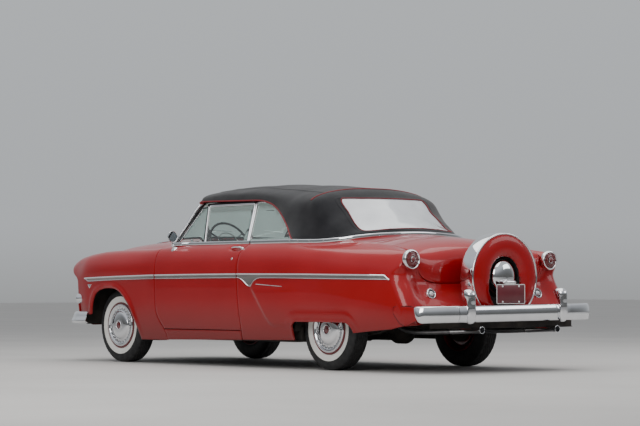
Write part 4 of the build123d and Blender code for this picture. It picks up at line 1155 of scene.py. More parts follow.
sl = resample(np.vstack([up_[::-1], [[894.5, 1997, 505], [894.5, 1997, 480]], dn_]), 12)
v, f = sweep(sl, ring(6, 1.6, 2.4), (1, 0, 0))
both("splash_seam", v, f, "seal", slot="black_metal", angle=60)

# ================================================================ fabric roof
ROOF = [
    (-1080, [(130, 1474), (100, 1480), (66, 1483), (33, 1485), (0, 1486)]),
    (-1020, [(360, 1462), (320, 1474), (240, 1485), (120, 1494), (0, 1498)]),
    (-950, [(540, 1450), (518, 1470), (434, 1491), (222, 1516), (0, 1525)]),
    (-890, [(626, 1424), (610, 1456), (514, 1495), (262, 1531), (0, 1542)]),
    (-600, [(636, 1420), (622, 1462), (549, 1508), (282, 1553), (0, 1568)]),
    (-250, [(638, 1416), (625, 1460), (552, 1509), (286, 1556), (0, 1571)]),
    (-40, [(638, 1412), (628, 1452), (552, 1501), (286, 1545), (0, 1561)]),
    (110, [(648, 1388), (638, 1432), (558, 1484), (285, 1536), (0, 1554)]),
    (225, [(666, 1346), (652, 1410), (566, 1470), (285, 1530), (0, 1549)]),
    (390, [(718, 1250), (684, 1356), (576, 1452), (290, 1520), (0, 1539)]),
    (500, [(756, 1160), (702, 1318), (598, 1443), (299, 1513), (0, 1530)]),
    (590, [(800, 1086), (714, 1279), (617, 1427), (306, 1503), (0, 1519)]),
    (640, [(816, 1062), (712, 1271), (622, 1421), (309, 1496), (0, 1511)]),
    (740, [(786, 1070), (700, 1268), (619, 1412), (311, 1481), (0, 1495)]),
    (950, [(736, 1058), (652, 1180), (460, 1284), (225, 1340), (0, 1360)]),
    (1120, [(640, 1070), (572, 1116), (455, 1160), (225, 1226), (0, 1250)]),
    (1215, [(510, 1094), (466, 1118), (380, 1140), (200, 1178), (0, 1194)]),
    (1290, [(230, 1112), (180, 1120), (120, 1126), (60, 1131), (0, 1134)]),
]
RK = A([-1, -.8, -.55, -.28, 0, .28, .55, .8, 1])
RROWS = Rows([r[0] for r in ROOF], [np.ravel(r[1]) for r in ROOF], sigma=16, step=4)
RW = 800.0


def roof_points(uv):
    """u runs across from the right edge to the left, v is y."""
    s, y = uv[:, 0] / RW, uv[:, 1]
    c = RROWS.at(y).reshape(-1, 5, 2)
    full = np.concatenate([c[:, :4] * A((-1, 1)), c[:, 4:], c[:, 3::-1]], 1)
    xz = (spline(RK, np.eye(9), s)[:, :, None] * full).sum(1)
    z = xz[:, 1].copy()
    top = smooth(0.78, 0.5, np.abs(s))
    # cloth sags a little between the bows
    for y0, y1 in ((-900, -560), (-560, -180), (-180, 240), (240, 700)):
        k = (y - y0) / (y1 - y0)
        z -= np.where((k > 0) & (k < 1), 5.0 * np.sin(np.pi * np.clip(k, 0, 1)) ** 2, 0) * top
    # bow under the cloth at the rear corner of the roof
    z += 4.0 * np.exp(-((y - 715) / 24.0) ** 2) * smooth(0.95, 0.7, np.abs(s))
    # sewn seams along the top
    for q in (-0.42, 0.42):
        z += 1.8 * np.exp(-((s - q) / 0.010) ** 2)
    return np.stack([xz[:, 0], y, z], 1)


roof_s = with_normals(roof_points, 1.0)


def roof_u(x, y):
    """u where the roof is at x."""
    s = np.linspace(-1, 1, 401)
    out = []
    for a, b in zip(x, y):
        p = roof_points(np.stack([s * RW, np.full(401, b)], 1))
        out.append(np.interp(a, p[:, 0], s * RW))
    return A(out)


half = [(0, 873), (100, 869), (190, 859), (270, 844), (318, 831), (338, 829), (356, 839), (386, 864), (412, 898), (434, 940), (448, 984), (457, 1026),
        (463, 1064), (471, 1098), (486, 1130), (504, 1156), (509, 1170), (498, 1183), (455, 1200), (395, 1215), (280, 1239), (140, 1252), (0, 1256)]
hw = through(half, 11)
WIN = np.vstack([hw, (hw * A((-1, 1)))[::-1][1:-1]])[::-1]
WIN = clean(resample(np.vstack([WIN, WIN[:1]]), 11)[:-1], 4)
fr = np.stack([np.full(2, 0.0), [0, 0]], 1)
ye = np.r_[np.linspace(-1078, -900, 16), np.linspace(-885, 1286, 180)]
loop = np.vstack([np.stack([np.full(len(ye), RW - 2.0), ye], 1),
                  np.stack([np.linspace(RW - 20, -(RW - 20), 60), np.full(60, 1288.0)], 1),
                  np.stack([np.full(len(ye), -(RW - 2.0)), ye[::-1]], 1),
                  np.stack([np.linspace(-(RW - 20), RW - 20, 60), np.full(60, -1079.0)], 1)])
v, f = panel(roof_s, clean(loop, 3), [clean(WIN, 4)], du=20, dv=18, depth=5.0, hem=1.5)
roof = solid("roof_cloth", v, f, "roof", "body", ("soft_top",), slot="roof_cloth", angle=60)

# clear rear sheet with its sewn edge
c = A((0.0, 1040.0))
big = c + (WIN - c) * 1.035


def roof_at(offset):
    def surf(uv):
        p, n = roof_s(uv)
        return p + n * offset, n
    return surf


v, f = panel(roof_at(-2.5), clean(big, 4), du=22, dv=20, depth=2.0, hem=0.5)
solid("rear_sheet", v, f, "sheet", "body", ("rear_window",), slot="clear_sheet")


def on_roof(uv, offset=0.0):
    p, n = roof_s(uv)
    return p + n * offset, n


def roof_cord(name, uv, r, mat, offset, closed, slot, flat=1.0):
    p, n = on_roof(uv, offset)
    v, f = sweep(p, ring(10, r, r * flat), n, closed)
    return solid(name, v, f, mat, slot=slot, angle=60)


ring1 = c + (WIN - c) * 1.012
roof_cord("rear_sheet_piping", ring1, 4.2, "piping", 1.5, True, "upholstery")
ring2 = c + (WIN - c) * 1.075
roof_cord("rear_sheet_binding", ring2, 13.0, "roof", 0.0, True, "roof_cloth", 0.12)
bow = np.stack([np.linspace(-470, 470, 90), 716 - 34 * np.abs(np.linspace(-1, 1, 90)) ** 2], 1)
roof_cord("roof_bow_piping", bow, 5.0, "piping", 2.0, False, "upholstery")
for s, e in ((1, bow[::-1][:5]), (-1, bow[:5])):
    e = e + A((s * 10, -1))
    roof_cord("roof_bow_tip_%s" % ("left" if s > 0 else "right"), e, 6.0, "piping", 2.0, False, "upholstery")
for s in (1, -1):
    e = np.stack([np.full(230, s * (RW - 2.0)), np.linspace(-880, 628, 230)], 1)
    p, n = on_roof(e, 0.0)
    p[:, 2] += 2
    v, f = sweep(p, ring(10, 6.5, 5.0), n)
    solid("roof_edge_piping_%s" % ("left" if s > 0 else "right"), v, f, "piping", slot="upholstery", angle=60)
    for q in (0.42,):
        sm = np.stack([np.full(200, s * q * RW), np.linspace(-1020, 700, 200)], 1)
        p, n = on_roof(sm, 0.8)
        v, f = sweep(p, ring(6, 9.0, 1.0), n)
        solid("roof_seam_tape_%s" % ("left" if s > 0 else "right"), v, f, "roof", slot="roof_cloth", angle=60)
# lining under the cloth
v, f = panel(roof_at(-9.0), clean(loop * A((0.985, 1)), 6), [clean(c + (WIN - c) * 1.02, 4)], du=40, dv=36, depth=2.0, hem=0.5)
solid("roof_lining", v, f, "lining", slot="roof_cloth", angle=60)

# ================================================================ wheels and tyres
Y_FRONT, Y_REAR, HUB = -1856.0, 1078.0, 333.0


def tyre_mesh(centre, s, n=160):
    """Tyre with a ribbed tread; s is the outboard direction along x. Returns verts, faces, material index."""
    wall = through([(196.0, 69), (204, 72.5), (212, 77.0), (222, 80.6), (238, 84.0), (256, 85.4), (276, 85.0), (296, 81.6), (312, 76.0),
                    (322, 69.5), (328.5, 61.5)], 4.4)
    tread = np.linspace(58.0, -58.0, 37)
    prof = [(r, a) for r, a in wall] + [(0, a) for a in tread] + [(r, -a) for r, a in wall[::-1]]
    prof = A(prof)
    m = len(prof)
    k0, k1 = len(wall), len(wall) + len(tread)
    th = np.arange(n) / n * 2 * math.pi
    verts = np.zeros((n, m, 3))
    for i, t in enumerate(th):
        r = prof[:, 0].copy()
        a = prof[:, 1].copy()
        ta = a[k0:k1]
        base = 332.4 - 3.6 * (np.abs(ta) / 58.0) ** 3
        zig = 4.6 * (1 if (i // 2) % 2 else -1)
        depth = np.zeros(len(ta))
        for g in (-34, -12, 12, 34):
            depth = np.maximum(depth, 7.0 * np.exp(-((ta - g - zig) / 3.6) ** 4))
        shoulder = (np.abs(ta) > 41) * (1.0 if i % 4 == 0 else 0.0) * 6.0
        r[k0:k1] = base - np.maximum(depth, shoulder)
        # shoulder notches run on into the side
        w0 = wall[:, 0] > 312
        if i % 4 == 0:
            r[:k0][w0] -= 1.6
            r[k1:][w0[::-1]] -= 1.6
        # raised edge of the white band on the outside
        a[:k0] += 0.9 * np.exp(-((wall[:, 0] - 261) / 2.4) ** 2)
        verts[i, :, 0] = centre[0] + s * a
        verts[i, :, 1] = centre[1] + r * math.cos(t)
        verts[i, :, 2] = centre[2] + r * math.sin(t)
    f = grid_faces(n, m, wrap_u=True)
    if s > 0:
        f = turn_faces(f)
    idx = []
    for i in range(n):
        for j in range(m - 1):
            mid = (prof[j, 0] + prof[j + 1, 0]) / 2
            idx.append(1 if (j < k0 - 1 and 207 < mid < 260) else 0)
    return verts.reshape(-1, 3), f, idx


def cover_mesh(centre, s, n=240):
    """Full wheel cover with a ring of slots."""
    prof = A([(191.5, 76), (191.5, 81), (190, 86), (186.5, 89), (181, 90), (175, 89.5), (171, 87.5), (168.5, 84), (166, 81.6), (163, 80.6),
              (160, 80), (157, 79.5), (153, 79), (149, 78.8), (145, 78.6), (141, 78.8), (137, 79.4), (132, 80.6), (127, 82.4), (123, 84.4),
              (120.5, 87.5), (117, 90.6), (111, 93.2), (103, 95.4), (92, 97.6), (78, 99.4), (64, 100.3), (52, 100.6), (46.5, 100.6), (44, 101.6),
              (43, 105), (41, 107.8), (38, 108.8), (35, 107.8), (33.2, 105), (32.2, 101), (28, 100.6), (22, 101.6), (12, 103.2), (0.5, 103.8)])
    m = len(prof)
    th = np.arange(n) / n * 2 * math.pi
    v = np.zeros((n, m, 3))
    slot = np.zeros((n, m), bool)
    for i, t in enumerate(th):
        a = prof[:, 1].copy()
        r = prof[:, 0]
        if i % 10 in (3, 4, 5, 6, 7):
            k = (r > 140) & (r < 159.5)
            slot[i] = k
            if i % 10 in (4, 5, 6):
                a[k] -= 4.5
        v[i, :, 0] = centre[0] + s * a
        v[i, :, 1] = centre[1] + r * math.cos(t)
        v[i, :, 2] = centre[2] + r * math.sin(t)
    f = grid_faces(n, m, wrap_u=True)
    idx = []
    for i in range(n):
        for j in range(m - 1):
            dark = slot[i, j] and slot[(i + 1) % n, j] and slot[i, j + 1] and i % 10 in (3, 4, 5, 6)
            r = (prof[j, 0] + prof[j + 1, 0]) / 2
            idx.append(1 if dark else (2 if r < 31 else 0))
    if s > 0:
        f = turn_faces(f)
    return v.reshape(-1, 3), f, idx


BARREL = [(205, 73.5), (206, 77), (205.5, 80.5), (203, 82.5), (199, 83), (194, 81), (191, 77), (189, 72), (188, 40), (60, 22), (60, 8), (140, -5),
          (138, -45), (21, -45), (21, -52), (178, -40), (181, -68), (190, -77), (197, -82), (203, -82), (205.5, -79), (205, -73.5), (199, -71),
          (195.2, -69), (195.2, 69), (199, 71)]
BARREL = [(205, 73.5), (206, 77), (205.5, 80.5), (203, 82.5), (199, 83), (194, 81), (191, 77), (186, 72), (182, 60), (182, 24), (62, 20), (60, 8),
          (139, -5), (139, -45), (24, -45), (24, -49), (144, -49), (144, 0), (182, 6), (182, -66), (188, -75), (196, -82), (203, -82.5),
          (205.5, -79), (205, -73.5), (199, -71), (195.2, -69), (195.2, 69), (199, 71)]
for fr, y, half in (("front", Y_FRONT, 736.5), ("rear", Y_REAR, 711.0)):
    for name, s in (("left", 1), ("right", -1)):
        body = "wheel_%s_%s_body" % (fr, name)
        c = (s * half, y, HUB)
        v, f, ix = tyre_mesh(c, s)
        solid("tyre_%s_%s_rubber" % (fr, name), v, f, None, body, ("tyre_%s_%s" % (fr, name),), slot="tyre", angle=42,
              mats=["rubber", "white"], idx=ix)
        v, f, ix = cover_mesh(c, s)
        solid("wheel_cover_%s_%s" % (fr, name), v, f, None, body, slot="chrome", angle=40, mats=["chrome", "steel", "red_lens"], idx=ix)
        v, f = revolve(BARREL, c, (s, 0, 0), 128, closed=True)
        solid("wheel_rim_%s_%s" % (fr, name), v, f, "rim_red", body, ("wheel_%s_%s" % (fr, name),), slot="body_paint", angle=40)
        # brake drum fins behind the rim
        v, f = revolve([(126, -44), (146, -44), (148, -40), (150, -24), (146, -22), (146, -18), (150, -16), (150, -6), (146, -4)], c, (s, 0, 0), 96)
        solid("brake_drum_%s_%s" % (fr, name), v, turn_faces(f) if s < 0 else f, "steel", body, slot="steel", angle=30)
        st = revolve([(0.5, 0), (3.4, 0), (3.4, 22), (2.6, 24), (0.5, 24)], (c[0] + s * 84, y + 176, HUB - 0), (s, 0, 0), 12)
        solid("valve_%s_%s" % (fr, name), st[0], st[1], "seal", body, slot="tyre", angle=40)

# ================================================================ bumpers


def plan_sweep(plan, prof, step=16, ends=True, taper=None, flip=False):
    """Closed profile (outward, z) carried along a plan curve given for +x and mirrored."""
    pl = through(plan, step)
    full = np.vstack([pl, (pl * A((-1, 1)))[::-1][1:]])
    d = np.gradient(full, axis=0)
    d /= np.linalg.norm(d, axis=1, keepdims=True)
    out = np.stack([d[:, 1], -d[:, 0]], 1)
    mid = len(full) // 2
    want = 1.0 if full[mid, 1] > 0 else -1.0
    if out[mid, 1] * want < 0:
        out = -out
    pr = A(prof)
    rows = []
    for i in range(len(full)):
        k = 1.0
        e = min(i, len(full) - 1 - i)
        sc = 1.0
        if taper and e < len(taper):
            sc = taper[e]
        zc = (pr[:, 1].max() + pr[:, 1].min()) / 2
        oc = pr[:, 0].mean()
        o = oc + (pr[:, 0] - oc) * sc
        z = zc + (pr[:, 1] - zc) * (1 - (1 - sc) * 0.5)
        rows.append(np.stack([full[i, 0] + out[i, 0] * o, full[i, 1] + out[i, 1] * o, z], 1))
    m = len(pr)
    f = grid_faces(len(rows), m, wrap_v=True)
    if ends:
        f.append(tuple(reversed(range(m))))
        f.append(tuple(range((len(rows) - 1) * m, len(rows) * m)))
    return np.vstack(rows), f


def inner_wall(prof, t):
    """Closes an open outer profile with its own inside at thickness t."""
    p = A(prof)
    d = np.gradient(p, axis=0)
    d /= np.maximum(np.linalg.norm(d, axis=1, keepdims=True), 1e-9)
    n = np.stack([-d[:, 1], d[:, 0]], 1)
    if n[len(p) // 2, 0] > 0:
        n = -n
    return np.vstack([p, (p + n * t)[::-1]])


REAR_PLAN = [(924, 2280), (922, 2312), (906, 2348), (864, 2382), (790, 2410), (640, 2438), (480, 2456), (240, 2466), (0, 2468)]
# outward, height: top flange, round shoulder, face, ridge, lower face, return
TILT = lambda v: v + np.stack([np.zeros(len(v)), np.zeros(len(v)), 4 - 0.009 * v[:, 0]], 1)
rprof = through([(-34, 524), (-16, 531), (-3, 526), (3, 512), (7, 494), (9, 476), (9.5, 462), (9, 450), (6.5, 438), (2, 426), (-3, 414), (-10, 403),
                 (-24, 399)], 5)
v, f = plan_sweep(REAR_PLAN, inner_wall(rprof, 5.0), taper=[0.82, 0.92, 0.98])
v[:, 1] += 42 * (510 - v[:, 2]) / 110.0 * smooth(2372, 2282, v[:, 1]) * (np.abs(v[:, 0]) > 800)
v = TILT(v)
solid("rear_bumper_bar", v, f, "chrome", "body", ("rear_bumper",), slot="chrome", angle=50)

FRONT_PLAN = [(926, -2236), (930, -2300), (930, -2390), (885, -2500), (812, -2572), (700, -2618), (560, -2643), (300, -2653), (0, -2655)]
fprof = through([(-34, 444), (-18, 453), (-6, 450), (2, 440), (8, 426), (13, 410), (20, 394), (28, 380), (31, 368), (26, 357), (10, 349),
                 (-16, 345)], 5)
v, f = plan_sweep(FRONT_PLAN, inner_wall(fprof, 5.0), taper=[0.82, 0.92, 0.98])
solid("front_bumper_bar", v, f, "chrome", "body", ("front_bumper",), slot="chrome", angle=50)


def plan_at(plan, x):
    pl = through(plan, 8)
    o = np.argsort(pl[:, 0])
    return np.interp(x, pl[o, 0], pl[o, 1])


def guard(name, x, y0, z0, z1, sgn, hoop):
    """Bumper guard: a bulky post with a rounded head, leaning over the bar; sgn is the outward y direction."""
    parts = []
    # post: sections up z: (z, half width, front depth, back depth)
    rows = []
    secs = [(z0, 16, 6, -8), (z0 + 6, 24, 13, -10), (z0 + 30, 29, 22, -12), (z0 + 80, 31, 28, -10), (z0 + 130, 32, 32, -6), (z0 + 170, 33, 34, -10),
            (z0 + 205, 34, 35, -18), (z0 + 232, 34, 35, -24), (z0 + 256, 32, 32, -26), (z0 + 274, 27, 26, -22), (z0 + 284, 19, 17, -14),
            (z0 + 289, 8, 5, -4)]
    scale = (z1 - z0) / 290.0
    n = 28
    for z, w, fo, ba in secs:
        zz = z0 + (z - z0) * scale
        cy, hy = (fo + ba) / 2.0, (fo - ba) / 2.0
        loop = []
        for a, b in ring(n, w, hy, 2.6):
            loop.append((x + a, y0 + sgn * (cy + b), zz))
        rows.append(A(loop))
    f = grid_faces(len(rows), n, wrap_v=True)
    if sgn < 0:
        f = turn_faces(f)
    f += [tuple(reversed(range(n))), tuple(range((len(rows) - 1) * n, len(rows) * n))]
    return np.vstack(rows), f


def head_guard(x, y0, sgn, z0, z1, n=28):
    """Chrome guard: a post over the bar that swells into a rounded head leaning towards the car."""
    k = (z1 - z0) / 270.0
    secs = [(0, 0, 8, 12), (3, 2, 15, 22), (14, 5, 21, 32), (40, 9, 25, 38), (80, 13, 27, 40), (120, 14, 27, 40), (150, 11, 29, 39), (176, 3, 38, 40),
            (200, -9, 50, 43), (222, -17, 58, 45), (240, -20, 57, 44), (254, -21, 49, 38), (264, -21, 36, 28), (269, -21, 19, 15), (270.5, -21, 5, 4)]
    rows = []
    for h, cy, hy, w in A(secs):
        rows.append(A([(x + a, y0 + sgn * (cy + b), z0 + h * k) for a, b in ring(n, w, hy, 2.35)]))
    rows = smooth_rows(rows)
    f = grid_faces(len(rows), n, wrap_v=True)
    if sgn < 0:
        f = turn_faces(f)
    f += [tuple(reversed(range(n))), tuple(range((len(rows) - 1) * n, len(rows) * n))]
    return np.vstack(rows), f


def smooth_rows(rows, per=4):
    """More sections between the given ones, on smooth curves."""
    r = A(rows)
    t = np.arange(len(r))
    tt = np.linspace(0, len(r) - 1, (len(r) - 1) * per + 1)
    flat = r.reshape(len(r), -1)
    out = pchip(t, flat, tt)
    return list(out.reshape(len(tt), r.shape[1], 3))


for s, nm in ((1, "left"), (-1, "right")):
    gy = plan_at(REAR_PLAN, 504)
    v, f = head_guard(s * 500, gy + 4, 1, 388, 660)
    v = TILT(v)
    solid("rear_guard_" + nm, v, f, "chrome", slot="chrome", angle=55)
    # flared foot of the guard along the bar
    px = np.linspace(s * 604, s * 504, 14)
    pts = np.stack([px, [plan_at(REAR_PLAN, abs(q)) for q in px], np.full(14, 0.0)], 1)
    foot = []
    for i, q in enumerate(pts):
        k = i / 13.0
        g = 1.0 + 0.10 * math.sin(k * math.pi * 0.5)
        pr = rprof.copy()
        zc = 465
        foot.append(np.stack([np.full(len(pr), q[0]), q[1] + pr[:, 0] * 1.0 + 3.0 + 13 * k ** 2, zc + (pr[:, 1] - zc) * (0.94 + 0.10 * k)], 1))
    v = np.vstack(foot)
    f = grid_faces(14, len(rprof))
    if s > 0:
        f = turn_faces(f)
    v = TILT(v)
    solid("rear_guard_foot_" + nm, v, f, "chrome", slot="chrome", angle=55)
    gy = plan_at(FRONT_PLAN, 400)
    v, f = guard("g", s * 400, gy, 300, 560, -1, False)
    solid("front_guard_" + nm, v, f, "chrome", slot="chrome", angle=55)
for s, nm in ((1, "left"), (-1, "right")):
    v, f = revolve([(4.0, -10), (9, -10), (9, 2), (7.5, 3), (4.0, 3)], (s * 89, -2655 - 5, 405), (0, -1, 0), 24, closed=True)
    solid("plate_eye_" + nm, v, f, "chrome", slot="chrome", angle=40)

# exhaust tips over the pipes' ends
for s, nm in ((1, "left"), (-1, "right")):
    a, b = A((s * 410, 2150, 328.8)), A((s * 410, 2497, 341))
    d = (b - a) / np.linalg.norm(b - a)
    L = np.linalg.norm(b - a)
    v, f = revolve([(25.5, 0), (26, 4), (26, L - 5), (27.5, L - 3), (28, L), (26.5, L + 1.5), (24.6, L), (24, L - 6), (24, 10)], a, d, 40)
    solid("exhaust_tip_" + nm, v, f, "chrome", slot="chrome", angle=40)
    v, f = revolve([(24, L - 34), (10, L - 36), (0.3, L - 36)], a, d, 40)
    solid("exhaust_mouth_" + nm, v, f, "slot_dark", slot="black_metal", angle=40)

# dark underbody sheet between the bumper bar and the pipes, with a lip along its lower edge: painted shade, filling the
# gap under the bar with dark
plan2 = through([(772, 2290), (700, 2322), (500, 2374), (250, 2382), (0, 2384)], 16)
full2 = np.vstack([plan2, (plan2 * A((-1, 1)))[::-1][1:]])
d2 = np.gradient(full2, axis=0)
d2 /= np.linalg.norm(d2, axis=1, keepdims=True)
o2 = np.stack([d2[:, 1], -d2[:, 0]], 1)
o2 *= np.sign(o2[len(full2) // 2, 1])
sec = [(0, 428), (0, 362), (3, 356), (10, 354.5), (10, 352.5), (1, 353), (-3, 360), (-3, 428)]
v = np.stack([np.c_[full2 + o2 * a, np.full(len(full2), z)] for a, z in sec], 1).reshape(-1, 3)
f = grid_faces(len(full2), len(sec), wrap_v=True) + [tuple(reversed(range(8))), tuple(range(8 * len(full2) - 8, 8 * len(full2)))]
solid("rear_shade_sheet", v, f, "under", slot="black_metal", angle=40)

# ================================================================ spare wheel kit
SZ, SY = 755.0, 2195.0
band = [(300, -20), (338, -23), (344, -21), (347, -16), (349, -6)] + [(349 + 4.6 * math.sin(math.pi * k / 12) ** 0.8, -6 + 10 * k) for k in range(1, 12)] + [(349.2, 114),
        (352.5, 119), (353.5, 123), (353, 128), (350, 132), (345.5, 133.5), (341, 132), (338, 128), (337, 122), (336, 112), (300, 108)]
v, f = revolve(band, (0, SY, SZ), (0, 1, 0), 200)
solid("spare_band", v, f, "chrome", "body", ("spare_wheel",), slot="chrome", angle=40)


def u_edge(d=0.0, n=36):
    """Edge of the horseshoe opening, grown by d, from the lower left over the top to the lower right."""
    r = 168.0 + d
    th = np.linspace(0, math.pi, n)
    arc = np.stack([r * np.cos(th), SZ + 6 + r * np.sin(th)], 1)
    zb = SZ - 330
    leg = np.linspace(zb, SZ - 2, 22)
    w = r + 0.0 * leg + 8.0 * smooth(SZ, SZ - 60, leg) - 60.0 * smooth(SZ - 90, SZ - 250, leg) ** 1.3
    return np.vstack([np.stack([w, leg], 1), arc, np.stack([-w, leg], 1)[::-1]])


RF = 337.0
ue = u_edge()
k0 = ue[:, 0] ** 2 + (ue[:, 1] - SZ) ** 2 < (RF - 3) ** 2
ue = ue[k0]
a0 = math.atan2(ue[0, 1] - SZ, ue[0, 0])
a1 = math.atan2(ue[-1, 1] - SZ, ue[-1, 0])
if a1 < 0:
    a1 += 2 * math.pi
th = np.linspace(a1, a0 + 2 * math.pi if a0 < 0 else a0, 2)
th = np.linspace(a0, a1, 150)
outer = np.stack([RF * np.cos(th), SZ + RF * np.sin(th)], 1)
loop = clean(np.vstack([outer, ue[::-1]]), 4)


def face_points(uv):
    x, z = uv[:, 0], uv[:, 1]
    r = np.hypot(x, z - SZ)
    do = np.maximum(RF - r, 0)
    di, _ = line_distance(u_edge(n=20)[::2], uv)
    h = 30.0 * np.sqrt(1 - (1 - np.clip(do / 95, 0, 1)) ** 2) * np.sqrt(np.clip(1 - (1 - np.clip(di / 62, 0, 1)) ** 2, 0, 1)) ** 0.9
    return np.stack([x, SY + 112 + h * 0.8, z], 1)


v, f = panel(with_normals(face_points), loop, du=11, dv=11, depth=10, hem=1.5)
solid("spare_face", v, f, "paint", slot="body_paint", angle=50)
v, f = revolve([(346, 3), (300, 20), (200, 44), (0.5, 46)], (0, SY, SZ), (0, 1, 0), 96)
solid("spare_well", v, f, "under", slot="black_metal", angle=60)
v, f = revolve([(346, 2.5), (345, 0), (170, 0), (150, 3), (0.5, 3)], (0, SY, SZ), (0, 1, 0), 96)
solid("spare_back", v, turn_faces(f), "black_metal", slot="black_metal", angle=60)
# spare tyre's side seen in the gap
v, f = revolve(through([(330, 60), (300, 96), (260, 106), (215, 100), (185, 84), (176, 60)], 6), (0, SY, SZ), (0, 1, 0), 120)
solid("spare_tyre_side", v, f, "rubber", slot="tyre", angle=60)


# bright dome, taller than wide
def dome_mesh():
    prof = through([(131, 40), (131.5, 70), (129, 92), (121, 112), (106, 130), (84, 143), (56, 150.5), (28, 153.5), (0.5, 154)], 5)
    n = 96
    th = np.arange(n) / n * 2 * math.pi
    v = []
    for t in th:
        c, s = math.cos(t), math.sin(t)
        ky = 1.12 if s > 0 else 1.0
        v.append(np.stack([prof[:, 0] * c, SY + prof[:, 1], SZ + 2 + prof[:, 0] * s * ky], 1))
    return np.vstack(v), turn_faces(grid_faces(n, len(prof), wrap_u=True))


v, f = dome_mesh()
solid("spare_dome", v, f, "chrome", slot="chrome", angle=60)
v, f = revolve([(136, 40), (137, 46), (134, 50), (131, 48)], (0, SY, SZ + 4), (0, 1, 0), 80)
solid("spare_dome_ring", v, f, "chrome", slot="chrome", angle=60)

# plate, its frame, bolts and lamp
v, f = blockv(-148, 148, 2386.5, 2390, 547, 692, 3)
solid("plate_field", v, f, "plate", "body", ("license_plate",), slot="plate", angle=40)
loop = rounded([(152, 544), (152, 695.5), (-152, 695.5), (-152, 544)], 10, closed=True, n=5)
path = np.stack([loop[:, 0], np.full(len(loop), 2390.0), loop[:, 1]], 1)
v, f = sweep(path, ring(8, 3.0, 2.4), (0, 1, 0), closed=True)
solid("plate_rim", v, f, "plate_rim", slot="plate", angle=50)
for i, (x, z) in enumerate(((-89, 682), (89, 682), (-89, 558), (89, 558))):
    v, f = revolve([(0.3, 6), (5, 5.4), (8, 3), (8.6, 0), (0.3, -2)], (x, 2389.5, z), (0, 1, 0), 20)
    solid("plate_bolt_%d" % i, v, f, "plate_rim", slot="plate", angle=40)
v, f = merge(blockv(-24, 24, 2330, 2386, 612, 634, 4), blockv(-120, 120, 2379, 2386, 600, 622, 3))
solid("plate_bracket", v, f, "chrome_soft", slot="steel", angle=40)
# plate lamp: a half-round bright housing over the plate
path = np.stack([np.linspace(-72, 72, 25), np.full(25, 2374.0), np.full(25, 712.0)], 1)
sc = np.sqrt(np.clip(1 - (np.abs(np.linspace(-1, 1, 25)) ** 3.2), 0.03, 1))
v, f = sweep(path, ring(20, 21, 20, 2.3), (0, 0, 1), scale=sc)
solid("plate_lamp", v, f, "chrome", slot="chrome", angle=60)
v, f = blockv(-40, 40, 2366, 2386, 688, 696, 3)
solid("plate_lamp_lens", v, f, "clear_lens", slot="glass", angle=60)

# ================================================================ lamps at the tail
for s, nm in ((1, "left"), (-1, "right")):
    c = (s * 753, 2046, 893)
    v, f = revolve([(60, -12), (77, -12), (79, -8), (80, 0), (80, 10), (79, 18), (77, 23), (73.5, 26), (69, 26.5), (65.5, 24), (63.5, 20), (62.5, 14), (61, 8)],
                   c, (0, 1, 0), 96)
    solid("tail_lamp_bezel_" + nm, v, f, "chrome", "body", ("tail_lamps",) if s > 0 else (), slot="chrome", angle=40)
    prof = [(63.5, 12), (62, 19), (58, 24), (55, 25), (53.5, 22.5), (52, 25.5), (49, 27.5), (46, 28.5), (44, 26), (42, 28.5), (38, 30), (34, 30.5), (31, 29),
            (30, 24), (24, 23), (23, 24.5)]
    v, f = revolve(prof, c, (0, 1, 0), 96)
    solid("tail_lamp_lens_" + nm, v, f, "red_lens", slot="red_lens", angle=28)
    v, f = revolve([(25, 22), (26, 28), (25, 33), (22.5, 35), (20, 33.5), (19, 31)], c, (0, 1, 0), 64)
    solid("tail_lamp_ring_" + nm, v, f, "chrome", slot="chrome", angle=40)
    v, f = revolve([(19.5, 28), (18.5, 36), (15.5, 41), (10, 44.5), (4, 46), (0.3, 46.2)], c, (0, 1, 0), 48)
    solid("tail_lamp_boss_" + nm, v, f, "red_lens", slot="red_lens", angle=40)
    c = A((s * 581, float(tail_y([581.0], [621.0])[0]) + 4.0, 621))
    ax = A((0, 0.95, 0.3)) / np.linalg.norm((0, 0.95, 0.3))
    v, f = revolve([(34, -8), (43, -8), (45.5, -3), (46, 6), (45, 13), (42, 17), (38, 18), (35, 15.5), (34, 10)], c, ax, 72)
    solid("reversing_bezel_" + nm, v, f, "chrome", "body", ("reversing_lamps",) if s > 0 else (), slot="chrome", angle=40)
    v, f = revolve([(35, 6), (33, 12), (31.5, 14), (30, 12), (22, 12), (21, 16), (17, 20.5), (10, 24), (0.3, 25.5)], c, ax, 64)
    nf = len(f)
    solid("reversing_lens_" + nm, v, f, None, slot="glass", angle=28, mats=["clear_lens", "slot_dark"],
          idx=[1 if (i % 8) in (2, 3) else 0 for i in range(nf)])

# ================================================================ glass, bright trim, handles


def side_plane(off=0.0):
    """Sloping plane of the side glass; (y, z) to points."""
    def fn(uv):
        return np.stack([808 + off - (uv[:, 1] - 1050) * 0.554, uv[:, 0], uv[:, 1]], 1)
    return with_normals(fn)


def glass_x(z, off=0.0):
    return 808 + off - (A(z) - 1050) * 0.554


def on_glass(pts, off=0.0):
    p = A(pts)
    return np.stack([glass_x(p[:, 1], off), p[:, 0], p[:, 1]], 1)


def rod_pair(name, path, rx, ry, mat, bodies=("body", "body"), hint=(1, 0, 0), p=3.0, n=12, slot="chrome", closed=False, step=None, **kw):
    q = resample(path, step) if step else A(path)
    v, f = sweep(q, ring(n, rx, ry, p), hint, closed)
    return both(name, v, f, mat, bodies=bodies, slot=slot, angle=50, **kw)


DOORS = ("door_left_body", "door_right_body")
